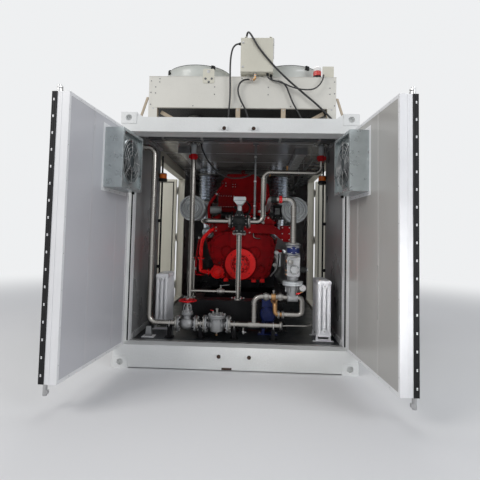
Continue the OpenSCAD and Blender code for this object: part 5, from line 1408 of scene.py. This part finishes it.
def filter_detail():
    """Stepped end caps, clips, ribs and duct clamps of the air filters."""
    s = Shape("air_filter_faces", slot="filter_grey")
    for e in (-1, 1):
        s.lathe((e * FILTER_X, 1951, FILTER_Z), FORE,
                [(184, -30), (190, -26), (191, 0), (191, 14), (186, 20), (172, 21), (164, 8), (150, 8), (144, 16),
                (132, 16), (126, 6), (98, 6), (92, 17), (80, 17), (72, 4), (0, 4)], 60)
        s.ring((e * FILTER_X, 1958, FILTER_Z), BACK, 190, 4, 60, 8, "zinc_steel")
        for c, d in around(3, 0.6):
            px, pz = e * FILTER_X + 196 * c, FILTER_Z + 196 * d
            s.slab(rect(-12, -8, 12, 8), (px, 1990, pz), 52, (d, 0, -c), (c, 0, d), "zinc_steel")
        for y in (2100, 2200, 2300):
            s.ring((e * FILTER_X, y, FILTER_Z), BACK, 170, 4, 48, 8)
        duct = EX - 300 if e < 0 else EX + 410
        for x in (duct + e * 30, e * 600):
            s.lathe((x - 10, 2270, FILTER_Z), RIGHT, collar(56, 60, 2, 20), 32, "zinc_steel")
        # bracket from the duct down to the engine
        s.box((e * 560 - 20, 2255, 1560), (e * 560 + 20, 2285, 1690), "zinc_steel")
    s.done(bevel=0.8, segments=1)


def alternator_detail():
    """Fins, side and top covers, flange bolts and end grille of the alternator."""
    s = Shape("alternator_detail", slot="alternator_grey")
    y0 = BLOCK_Y + 1750
    for e in (-1, 1):
        for i in range(9):
            z = CZ - 150 + i * 38
            s.slab(rect(0, 0, 300, 22), (EX + e * 361, y0 + 300 + (300 if e < 0 else 0), z), 10,
                    (0, e, 0), (-e * 0.4, 0, 0.9))
        s.box((EX + e * 360 - 2, y0 + 660, CZ - 150), (EX + e * 360 + 6 * e, y0 + 1060, CZ + 200))
        for dy, dz in pairs((690, 1030), (-130, 180)):
            s.bolt((EX + e * 366, y0 + dy, CZ + dz), (e, 0, 0), 14)
    for c, d in around(12):
        s.bolt((EX + 335 * c, y0 + 119, CZ + 335 * d), (0, 0.99, 0.1), 18)
    s.box((EX - 290, y0 + 360, CZ + 620), (EX + 290, y0 + 990, CZ + 628))
    for dx, dy in pairs((-270, 0, 270), (380, 970)):
        s.screw((EX + dx, y0 + dy, CZ + 628), UP, 8)
    s.lathe((EX, y0 + 1150, CZ), BACK, [(240, 0), (240, 30), (200, 60), (90, 66), (90, 80), (0, 80)], 40)
    for c, d in around(16):
        s.slab([(110, -6), (225, -10), (225, 10), (110, 6)], (EX, y0 + 1176, CZ), 34, (c, 0, d), (d, 0, -c))
    s.done(bevel=1.5, segments=1)


gear_cover_detail()
damper_detail()
pump_and_pipes()
intake_detail()
bank_detail("left")
bank_detail("right")
crankcase_detail()
exhaust_detail()
filter_detail()
alternator_detail()


# Side doors
def side_leaf_detail(side, end):
    """Edge frame, seal, hinge straps, lock rod and handle of one side leaf, drawn as the near left one."""
    place = Matrix.Diagonal((-1 if side == "right" else 1, 1, 1, 1))
    if end == "far":
        place = place @ Matrix.Translation((0, 4438, 0)) @ Matrix.Diagonal((1, -1, 1, 1))
    s = Shape(side + "_side_" + end + "_detail", side + "_side_" + end, "cream_paint", place)
    x0, x1, z0, z1, inner, outer = -2132, -1234, 272, 2330, 1368, 1308
    s.frame(x0, z0, x1, z1, 36, inner, inner + 2.5)
    s.frame(x0 + 44, z0 + 44, x1 - 44, z1 - 44, 14, inner, inner + 9, "seal_rubber")
    for u in (x0 + 300, x1 - 300):
        s.box((u - 14, inner, z0 + 62), (u + 14, inner + 1.5, z1 - 62))
        s.screws((u, inner + 1.5, z0 + 80), (u, inner + 1.5, z1 - 80), 7, BACK, 5)
    for z in (z0 + 18, z1 - 18):
        s.screws((x0 + 40, inner + 2.5, z), (x1 - 40, inner + 2.5, z), 6, BACK, 5)
    for i in range(3):
        z = 470 + i * 831
        s.plate(rounded([(-130, -34), (0, -42), (0, 42), (-130, 34)], 10), (x1, outer, z), 3, "zinc_steel")
        for dx, dz in ((-20, 24), (-20, -24), (-64, 18), (-64, -18), (-108, 0)):
            s.bolt((x1 + dx, outer - 3, z + dz), FORE, 13)
        s.cyl((-1222, 1296, z - 44), (-1222, 1296, z + 44), 8.6, 16, "zinc_steel")
    rod = x0 + 82
    s.cyl((rod, inner + 14, z0 + 64), (rod, inner + 14, z1 - 64), 8, 14, "zinc_steel")
    for z in (z0 + 90, 900, 1240, 1700, z1 - 90):
        s.box((rod - 16, inner, z - 12), (rod + 16, inner + 24, z + 12), "zinc_steel")
        for dx in (-24, 24):
            s.screw((rod + dx, inner, z), BACK, 5)
    s.box((rod - 30, inner, 1130), (rod + 30, inner + 12, 1230), "zinc_steel")
    s.plate(rounded(rect(-40, -100, 40, 100), 10), (rod + 10, outer, 1180), 4, "zinc_steel")
    s.plate(rounded(rect(-28, -86, 28, 86), 12), (rod + 10, outer - 4, 1180), 6, "valve_black")
    s.tube([(rod + 10, outer - 8, 1110), (rod + 10, outer - 30, 1130), (rod + 10, outer - 34, 1230)], 8,
            12, 14, "valve_black")
    n, border = 5, 60
    width = (x1 - x0 - 250) / n
    for i in range(n):
        u = x0 + border + i * width
        for a, b in ((z0 + 60, 1040), (1320, z1 - 60)):
            s.slab([(0.14 * width, 0), (0.86 * width, 0), (0.72 * width, 5), (0.28 * width, 5)],
                    (u, outer, b), b - a, RIGHT, FORE)
    s.done(bevel=0.8, segments=1)


# Fittings under the ceiling and on the walls
def ceiling_detail():
    """Lamps, cable ladder, trunking straps, conduit clips and warning beacons."""
    s = Shape("ceiling_detail", slot="zinc_steel")
    for e in (-1, 1):
        x = e * 755
        s.plate(rounded([(-74, 0), (74, 0), (58, -26), (-58, -26)], 10), (x, 2302, 2424), 1204, "lamp_lens")
        for y in (1094, 2296):
            s.box((x - 78, y, 2396), (x + 78, y + 12, 2478), "trunking_grey")
        for y in (1300, 1700, 2100):
            s.box((x - 80, y, 2420), (x - 72, y + 26, 2446))
            s.box((x + 72, y, 2420), (x + 80, y + 26, 2446))
        # beacon: ribbed lens on its base and wall bracket
        bx = e * 1038
        s.lathe((bx, 1190, 2034), UP, [(44, 0), (52, 3), (53, 10), (53, 34), (50, 38), (40, 38)], 32,
                "valve_black")
        profile = [(44, 0)] + [(46 + 1.6 * (k % 2), 3 + k * 5) for k in range(12)] + [(42, 66),
                (30, 74), (12, 78), (0, 78)]
        s.lathe((bx, 1190, 2070), UP, profile, 32, "lamp_orange")
        s.slab([(0, 0), (62, 0), (62, 44), (48, 44), (0, 8)], (bx, 1210 if e > 0 else 1170, 2040), 40,
                (e, 0, 0), UP, "trunking_grey")
        for dz in (8, 34):
            s.bolt((e * 1096, 1160, 2050 + dz), (-e, 0, 0), 10)
    # straps of the two cross trunks
    for y, x in pairs((520, 600), (-900, -450, 0, 450, 900)):
        s.box((x - 14, y - 2, CEILING_Z - 43), (x + 14, y + 32, CEILING_Z - 2))
        s.screw((x, y + 15, CEILING_Z - 43), DOWN, 5)
    # ladder with its rungs along the right wall, on hangers
    for x in (880, 1060):
        s.box((x - 2, 960, 2296), (x + 2, 3700, 2340), "trunking_grey")
        s.box((x - (12 if x > 900 else 0), 960, 2296), (x + (0 if x > 900 else 12), 3700, 2299), "trunking_grey")
        for y in (1080, 1900, 2700, 3500):
            s.cyl((x, y, 2300), (x, y, CEILING_Z), 5, 10)
            s.bolt((x, y, CEILING_Z - 4), DOWN, 14)
    for i in range(11):
        s.box((880, 1040 + i * 250, 2300), (1060, 1066 + i * 250, 2314), "trunking_grey")
    # clips and box of the upright conduit
    for z in (1700, 2000, 2300):
        s.lathe((173, 860, z), UP, collar(14, 17, 2, 18), 20)
    s.box((140, 836, CEILING_Z - 26), (206, 884, CEILING_Z - 1), "trunking_grey")
    s.lathe((173, 860, 1546), UP, [(17, 0), (20, 3), (20, 22), (14, 26)], 6)
    # black pipe brackets on the walls beside the doorways
    for e in (-1, 1):
        for z in (900, 1500, 2100):
            s.box((e * (LINING_X - 2), 1226, z), (e * (LINING_X - 36), 1250, z + 40), "skid_black")
        s.box((e * (LINING_X - 30), 1228, 330), (e * (LINING_X - 50), 1248, 2380), "skid_black")
    s.done(bevel=0.8, segments=1)


def heater_detail():
    """Column heaters: nine sections of three tubes between rounded headers, with caps, feet and valve."""
    s = Shape("column_heater_sections", slot="heater_white")
    for x, y in ((-885, 640), (935, 310)):
        z = FLOOR_Z + 60
        for i in range(9):
            y0 = y + i * 46
            for c in (-49, 0, 49):
                s.lathe((x + c, y0 + 13, z + 30), UP, mirrored([(0, 0), (18, 0), (21, 12)], 530), 18)
            for h in (0, 530):
                s.plate(rounded(rect(-72, h, 72, h + 60), 24), (x, y0 + 26, z), 26)
        for h in (60, 530):
            s.cyl((x, y + 5, z + h), (x, y + 389, z + h), 23, 24)
            s.lathe((x, y + 1, z + h), FORE, [(27, 0), (28, 3), (28, 10), (23, 14), (0, 14)], 28)
            s.lathe((x, y - 13, z + h), FORE, [(9, 0), (9, 4), (0, 5)], 6, "zinc_steel")
        for i in (1, 7):
            y0 = y + i * 46 + 3
            s.plate(both_sides([(110, -60), (110, -54), (84, -54), (74, 10), (62, 10), (56, -34)]),
                    (x, y0 + 20, z), 20)
            for e in (-1, 1):
                s.bolt((x + e * 98, y0 + 10, z - 54), UP, 12)
        s.lathe((x - 49, y + 12, z + 592), UP, [(7, -6), (7, 6), (4, 8)], 12, "brass")
    s.done(bevel=1.5, segments=2, replaces=["column_heaters"])


# Roof
CASE_X, CASE_Y, CASE_Y1, CASE_Z, CASE_TOP, RAIL_TOP = 1075, 500, 2650, 2801, 3168, 2576
CASE_MID = 1575


def casing_detail():
    """Panel joints, folded lips, screws and corner caps of the cooler casing, and risers to its coil."""
    s = Shape("cooler_casing_detail", slot="cooler_paint")
    z0, z1 = CASE_Z, CASE_TOP
    for e in (-1, 1):
        for y in (CASE_Y, CASE_Y1):
            d = -1 if y == CASE_Y else 1
            s.box((e * CASE_X, y, z0), (e * (CASE_X - 34), y + d * 1.6, z1))
        s.box((e * CASE_X, CASE_Y, z0), (e * (CASE_X + 1.6), CASE_Y + 60, z1))
        s.box((e * CASE_X, CASE_Y1 - 60, z0), (e * (CASE_X + 1.6), CASE_Y1, z1))
    for y, d in ((CASE_Y, -1), (CASE_Y1, 1)):
        s.box((-118, y, z0), (-116, y + d * 0.8, z1), "brace_beige")
        s.box((-CASE_X + 36, y, z0), (CASE_X - 36, y + d * 5, z0 + 5))
        s.box((-CASE_X, y, z1 - 3), (CASE_X, y + d * 4, z1 + 2))
        for x, zs in ((-314, (3047, 2961)), (303, (3047, 2961)), (-999, (3042, 2971)), (1005, (3042, 2971)),
                (-1052, (3113, 2977, 2837)), (1058, (3113, 2977, 2837)), (-953, (3140, 3101)), (0, (2824, 3147)),
                (-560, (2824,)), (560, (2824,))):
            for z in zs:
                s.screw((x, y + d * 1.6, z), (0, d, 0), 7, "trunking_grey")
    for e in (-1, 1):
        for y, z in pairs((CASE_Y + 30, 1050, CASE_MID, 2100, CASE_Y1 - 30), (2840, 2985, 3130)):
            s.screw((e * (CASE_X + 1.6), y, z), (e, 0, 0), 7, "trunking_grey")
        s.box((e * CASE_X, CASE_Y, z1 - 3), (e * (CASE_X + 4), CASE_Y1, z1 + 2))
    s.box((-CASE_X, CASE_MID - 1, z1), (CASE_X, CASE_MID + 1, z1 + 1.5), "brace_beige")
    # water pipes from the ceiling flanges to the coil
    for x in (-590, 970):
        s.cyl((x, 860, 2572), (x, 860, CASE_Z + 2), 30.2, 28, "stainless")
        for z in (2572, CASE_Z - 16):
            s.lathe((x, 860, z), UP, mirrored([(31, 0), (78, 0), (80, 2)], 16), 32, "cast_flange")
            s.bolts((x, 860, z + 16 if z < 2700 else z), (0, 0, 1 if z < 2700 else -1), 64, 4, 15, first=0.5)
    # screws and foot plates of the legs
    for y, e in pairs((CASE_Y, 1540, CASE_Y1 - 70), (-1, 1)):
        for dz in (40, 150):
            s.bolt((e * (CASE_X - 50), y, 2640 + dz), FORE, 14)
        s.box((e * (CASE_X + 10), y - 6, RAIL_TOP + 50.2), (e * (CASE_X - 120), y + 76, RAIL_TOP + 58))
    for e in (-1, 1):
        s.box((e * CASE_X, CASE_Y - 2, RAIL_TOP + 60), (e * (CASE_X - 100), CASE_Y - 0.2, CASE_Z))
        s.box((e * (CASE_X + 0.2), CASE_Y, RAIL_TOP + 60), (e * (CASE_X + 2), CASE_Y + 70, CASE_Z))
    for cx, dz in pairs((-40, 480), (20, 180)):
        s.bolt((cx, CASE_Y, 2600 + dz), FORE, 12)
    s.done(bevel=0.6, segments=1)


def blade(s, centre, turn, mat):
    """Twisted fan blade: sections along the radius, each a thin curved profile."""
    n, verts = 9, []
    for i in range(6):
        t = i / 5
        r, chord, pitch = 105 + 255 * t, 150 + 60 * t, math.radians(42 - 24 * t)
        ring = []
        for k in range(n):
            u = k / (n - 1) - 0.5
            ring.append((u * chord, 14 * (1 - 4 * u * u) + 5 * math.sqrt(max(0.0, 0.25 - u * u))))
        for k in range(n - 2, 0, -1):
            u = k / (n - 1) - 0.5
            ring.append((u * chord, 14 * (1 - 4 * u * u) - 5 * math.sqrt(max(0.0, 0.25 - u * u))))
        for u, h in ring:
            side, z = u * math.cos(pitch) - h * math.sin(pitch), u * math.sin(pitch) + h * math.cos(pitch)
            c, d = math.cos(turn), math.sin(turn)
            sweep = side + 40 * t
            verts.append((centre[0] + r * c - sweep * d, centre[1] + r * d + sweep * c, centre[2] + z))
    m = 2 * n - 2
    faces = [(i * m + k, i * m + (k + 1) % m, (i + 1) * m + (k + 1) % m,
            (i + 1) * m + k) for i in range(5) for k in range(m)]
    s.put(verts, faces + [tuple(range(m - 1, -1, -1)), tuple(5 * m + k for k in range(m))], mat)


def roof_fans():
    """Bell shaped shrouds with rolled rims, twisted blades, motors on their stays, and wire guards."""
    s = Shape("cooler_fans", slot="cooler_paint")
    for fx, fy in pairs((-560, 560), (1015, 2135)):
        z = CASE_TOP
        s.lathe((fx, fy, z + 0.3), UP, [(430, 0), (430, 5), (412, 7), (404, 22), (400, 60), (396, 120),
                (398, 158), (406, 172), (410, 178), (404, 183), (392, 178), (388, 160), (384, 120), (384, 40),
                (386, 0)], 72, "shroud_paint", closed=True)
        s.bolts((fx, fy, z + 5), UP, 421, 12, 14, first=0.5)
        for k in range(6):
            blade(s, (fx, fy, z + 66), 2 * math.pi * k / 6 + 0.2, "duct_dark")
        s.lathe((fx, fy, z + 20), UP, [(0, 0), (90, 0), (112, 10), (114, 60), (106, 74), (0, 78)], 36,
                "duct_dark")
        s.lathe((fx, fy, z + 96), UP, [(62, 0), (74, 4), (76, 12), (76, 70), (70, 80), (40, 86), (0, 86)], 32,
                "valve_black")
        for c, d in around(4, math.radians(30)):
            s.slab(rect(60, -13, 386, 13), (fx, fy, z + 130), 20, (c, d, 0), (-d, c, 0), "zinc_steel")
            px, py = fx + 404 * c, fy + 404 * d
            s.slab(rect(-26, -24, 14, 24), (px, py, z + 150), 46, (c, d, 0), (-d, c, 0), "valve_black")
            s.bolt((px - 6 * c, py - 6 * d, z + 196), UP, 18)
        s.ring((fx, fy, z + 187), UP, 398, 6, 72, 8, "valve_black")
        for r in (60, 115, 170, 225, 280, 335):
            s.ring((fx, fy, z + 192), UP, r, 2.4, 48, 6, "valve_black")
        for c, d in around(12):
            s.cyl((fx + 56 * c, fy + 56 * d, z + 192), (fx + 398 * c, fy + 398 * d, z + 188),
                    2.6, 6, "valve_black")
    s.done(bevel=0.6, segments=1, replaces=["fan_shrouds"])


def control_detail():
    """Door with its edge, hinges, glands, lugs and the elbow that leads out below."""
    s = Shape("control_box_detail", slot="cream_paint")
    x0, x1, y0, z0, z1 = -18, 352, 425, 3190, 3590
    s.plate(rounded(rect(x0 + 3, z0 + 4, x1 - 3, z1 - 4), 8), (0, y0 - 0.4, 0), 14)
    s.box((x0 - 2, y0 + 2, z1 - 1), (x1 + 2, y0 + 148, z1 + 3))
    s.box((x1, y0 + 4, 3355), (x1 + 9, y0 + 26, 3588), "white_trim")
    for z in (z0 + 60, z1 - 60):
        s.cyl((x1 + 4, y0 - 6, z - 24), (x1 + 4, y0 - 6, z + 24), 6, 14, "zinc_steel")
        s.lathe((x0 + 26, y0 - 14, z), FORE, [(13, 0), (13, 4), (10, 6), (4, 6), (4, 3), (0, 3)], 20,
                "zinc_steel")
    for x in (44, 329):
        s.plate(rounded(rect(-16, 0, 16, 44), 10), (x - 8, y0 + 60, z1 + 2), 4)
        s.lathe((x - 8, y0 + 55, z1 + 30), FORE, [(7, 0), (7, 1), (0, 1)], 14, "valve_black")
    glands = (((40, 505, z1 + 2), UP, 14), ((x0, 500, 3557), LEFT, 13), ((332, 490, z0), DOWN, 12),
            ((290, 450, z0), DOWN, 11))
    for p, d, r in glands:
        s.lathe(p, d, [(r + 5, 0), (r + 5, 9), (r + 2, 10)], 6, "valve_black")
        s.lathe(Vector(p) + Vector(d) * 9, d, [(r + 1, 0), (r + 3, 3), (r + 2, 14), (r - 3, 20)], 24,
                "valve_black")
    s.tube([(150, 455, z0), (150, 455, 3120), (89, 455, 3120)], 15.6, 20, 36, "brass")
    for p, d in (((150, 455, z0), DOWN), ((150, 455, 3168), DOWN), ((124, 455, 3120), LEFT),
            ((104, 455, 3120), LEFT)):
        s.lathe(p, d, collar(18, 22, 2, 14), 6, "zinc_steel")
    # stands under the box
    for x in (42, 242):
        s.bolt((x + 25, 505, z0 - 16), FORE, 12)
    s.done(bevel=1.0, segments=2)


def roof_fittings_detail():
    """Upright plate, ribbed two-colour beacon and the plate with its four holes."""
    s = Shape("roof_fittings_detail", slot="cream_paint")
    s.plate(rounded(rect(925, CASE_TOP, 1055, 3313), 8), (0, 546, 0), 6)
    s.plate(rect(925, 0, 1055, 3), (0, 586, CASE_TOP), 42)
    for x in (950, 1030):
        s.bolt((x, 566, CASE_TOP + 3), UP, 12)
    bx, by = 868, 560
    s.lathe((bx, by, CASE_TOP), UP, [(52, 0), (54, 3), (54, 18), (46, 24), (44, 36)], 36, "valve_black")
    profile = [(44, 0)] + [(45 + 1.8 * (k % 2), 2 + 4 * k) for k in range(13)] + [(43, 54)]
    s.lathe((bx, by, CASE_TOP + 34), UP, profile, 36, "lamp_red")
    s.lathe((bx, by, CASE_TOP + 88), UP, [(43, 0), (46, 2), (46, 28), (40, 46), (26, 58), (10, 62), (0, 62)], 36,
            "lamp_clear")
    plate = rounded(rect(-452, 3091, -320, 3258), 18)
    s.plate(plate, (0, CASE_Y - 0.4, 0), 6)
    for x, z in ((-423, 3142), (-349, 3143), (-384, 3104)):
        s.bolt((x, CASE_Y - 6.4, z), FORE, 17, "trunking_grey")
    s.lathe((-388, CASE_Y - 6.4, 3226), FORE, [(20, 0), (20, 1.5), (11, 2), (11, 0.5), (0, 0.5)], 24,
            "zinc_steel")
    s.done(bevel=0.8, segments=1, replaces=["roof_fittings"])


for side, end in pairs(("left", "right"), ("near", "far")):
    side_leaf_detail(side, end)
ceiling_detail()
heater_detail()
casing_detail()
roof_fans()
control_detail()
roof_fittings_detail()

# Rounded edges on the plain sheet and cast pieces of the source
for name, width in (("left_fan_box", 3), ("right_fan_box", 3), ("cooler_casing", 3), ("control_box", 3),
        ("left_side_door_near", 2), ("left_side_door_far", 2), ("right_side_door_near", 2),
        ("right_side_door_far", 2), ("front_sill", 3), ("front_header", 3), ("left_door_leaf", 3),
        ("right_door_leaf", 3), ("engine_skid", 2), ("cylinder_banks", 10), ("intake_housing", 12),
        ("engine_block", 10), ("alternator", 8)):
    bevel_edges(nodes[name], width, 2)


# Floor, light and backdrop
BACKDROP = (0.86, 0.87, 0.88, 1)


def blend(tree, fac, lit, seen, kind):
    """Ends a tree in a mix of two shaders, from the first to the second by fac."""
    mix = tree.nodes.new("ShaderNodeMixShader")
    for socket, entry in zip((fac, lit.outputs[0], seen.outputs[0]), mix.inputs):
        tree.links.new(socket, entry)
    tree.links.new(mix.outputs[0], tree.nodes.new(kind).inputs["Surface"])


def calc(tree, op, a, b):
    """One step of arithmetic on two sockets."""
    n = tree.nodes.new("ShaderNodeMath")
    n.operation = op
    tree.links.new(a, n.inputs[0])
    tree.links.new(b, n.inputs[1])
    return n.outputs[0]


def seen_ray(tree):
    """One for the rays that see a surface, straight or by gloss or glass; none for those that light it."""
    ray = tree.nodes.new("ShaderNodeLightPath")
    fac = ray.outputs["Is Camera Ray"]
    for kind in ("Is Glossy Ray", "Is Transmission Ray"):
        fac = calc(tree, "MAXIMUM", fac, ray.outputs[kind])
    return fac


def plain_white(name):
    """Seen by the camera and in reflections as plain white; to the light it is a pale matt floor."""
    mat = bpy.data.materials.new(name)
    mat.use_nodes = True
    tree = mat.node_tree
    tree.nodes.clear()
    diffuse = tree.nodes.new("ShaderNodeBsdfDiffuse")
    noise = tree.nodes.new("ShaderNodeTexNoise")
    noise.inputs["Scale"].default_value = 3.0
    ramp = tree.nodes.new("ShaderNodeValToRGB")
    ramp.color_ramp.elements[0].color = (0.72, 0.72, 0.73, 1)
    ramp.color_ramp.elements[1].color = (0.77, 0.77, 0.77, 1)
    tree.links.new(noise.outputs["Fac"], ramp.inputs["Fac"])
    tree.links.new(ramp.outputs["Color"], diffuse.inputs["Color"])
    # far from the container the floor turns into the colour of the backdrop
    where = tree.nodes.new("ShaderNodeNewGeometry")
    apart = tree.nodes.new("ShaderNodeVectorMath")
    apart.operation = "DISTANCE"
    apart.inputs[1].default_value = (0, FRONT + 1.5, 0)
    fade = tree.nodes.new("ShaderNodeMapRange")
    fade.interpolation_type = "SMOOTHERSTEP"
    fade.inputs["From Min"].default_value, fade.inputs["From Max"].default_value = 3.0, 11.0
    glow = tree.nodes.new("ShaderNodeEmission")
    glow.inputs["Color"].default_value = BACKDROP
    tree.links.new(where.outputs["Position"], apart.inputs[0])
    tree.links.new(apart.outputs["Value"], fade.inputs["Value"])
    fac = calc(tree, "MULTIPLY", fade.outputs["Result"], seen_ray(tree))
    blend(tree, fac, diffuse, glow, "ShaderNodeOutputMaterial")
    return mat


floor = bpy.data.meshes.new("floor")
floor.from_pydata([(-30, -30, 0), (30, -30, 0), (30, 30, 0), (-30, 30, 0)], [], [(0, 1, 2, 3)])
floor.materials.append(plain_white("floor_plain"))
floor_ob = bpy.data.objects.new("floor", floor)
scene.collection.objects.link(floor_ob)

world = bpy.data.worlds.new("studio")
scene.world = world
world.use_nodes = True
tree = world.node_tree
tree.nodes.clear()
lit, seen = tree.nodes.new("ShaderNodeBackground"), tree.nodes.new("ShaderNodeBackground")
for light, colour, strength in ((lit, (0.92, 0.95, 1.0, 1), 0.42), (seen, BACKDROP, 1.0)):
    light.inputs["Color"].default_value, light.inputs["Strength"].default_value = colour, strength
blend(tree, seen_ray(tree), lit, seen, "ShaderNodeOutputWorld")


def area(name, at, towards, size, watts, colour=(1, 1, 1)):
    """Rectangular lamp at one place, turned towards another."""
    data = bpy.data.lights.new(name, "AREA")
    data.shape, data.size, data.size_y = "RECTANGLE", size[0], size[1]
    data.energy, data.color = watts, colour
    ob = bpy.data.objects.new(name, data)
    scene.collection.objects.link(ob)
    ob.location = at
    ob.rotation_euler = (Vector(towards) - Vector(at)).to_track_quat("-Z", "Y").to_euler()
    return ob


area("key", (-5.5, FRONT - 5.0, 5.5), (0, FRONT + 0.5, 1.3), (4, 3), 245, (1.0, 0.98, 0.96))
area("fill", (5.5, FRONT - 5.5, 4.5), (0, FRONT + 0.5, 1.3), (4, 3), 175, (0.95, 0.97, 1.0))
area("top", (0, FRONT + 2.5, 8.0), (0, FRONT + 2.5, 0), (6, 6), 200)
inside = area("inside", (0.9, FRONT - 3.0, 0.85), (-0.15, FRONT + 3.0, 1.20), (1.1, 0.9), 5)
inside.data.spread = math.radians(38)
inside.visible_glossy = False
inside.visible_camera = False

scene.view_settings.view_transform = "Standard"
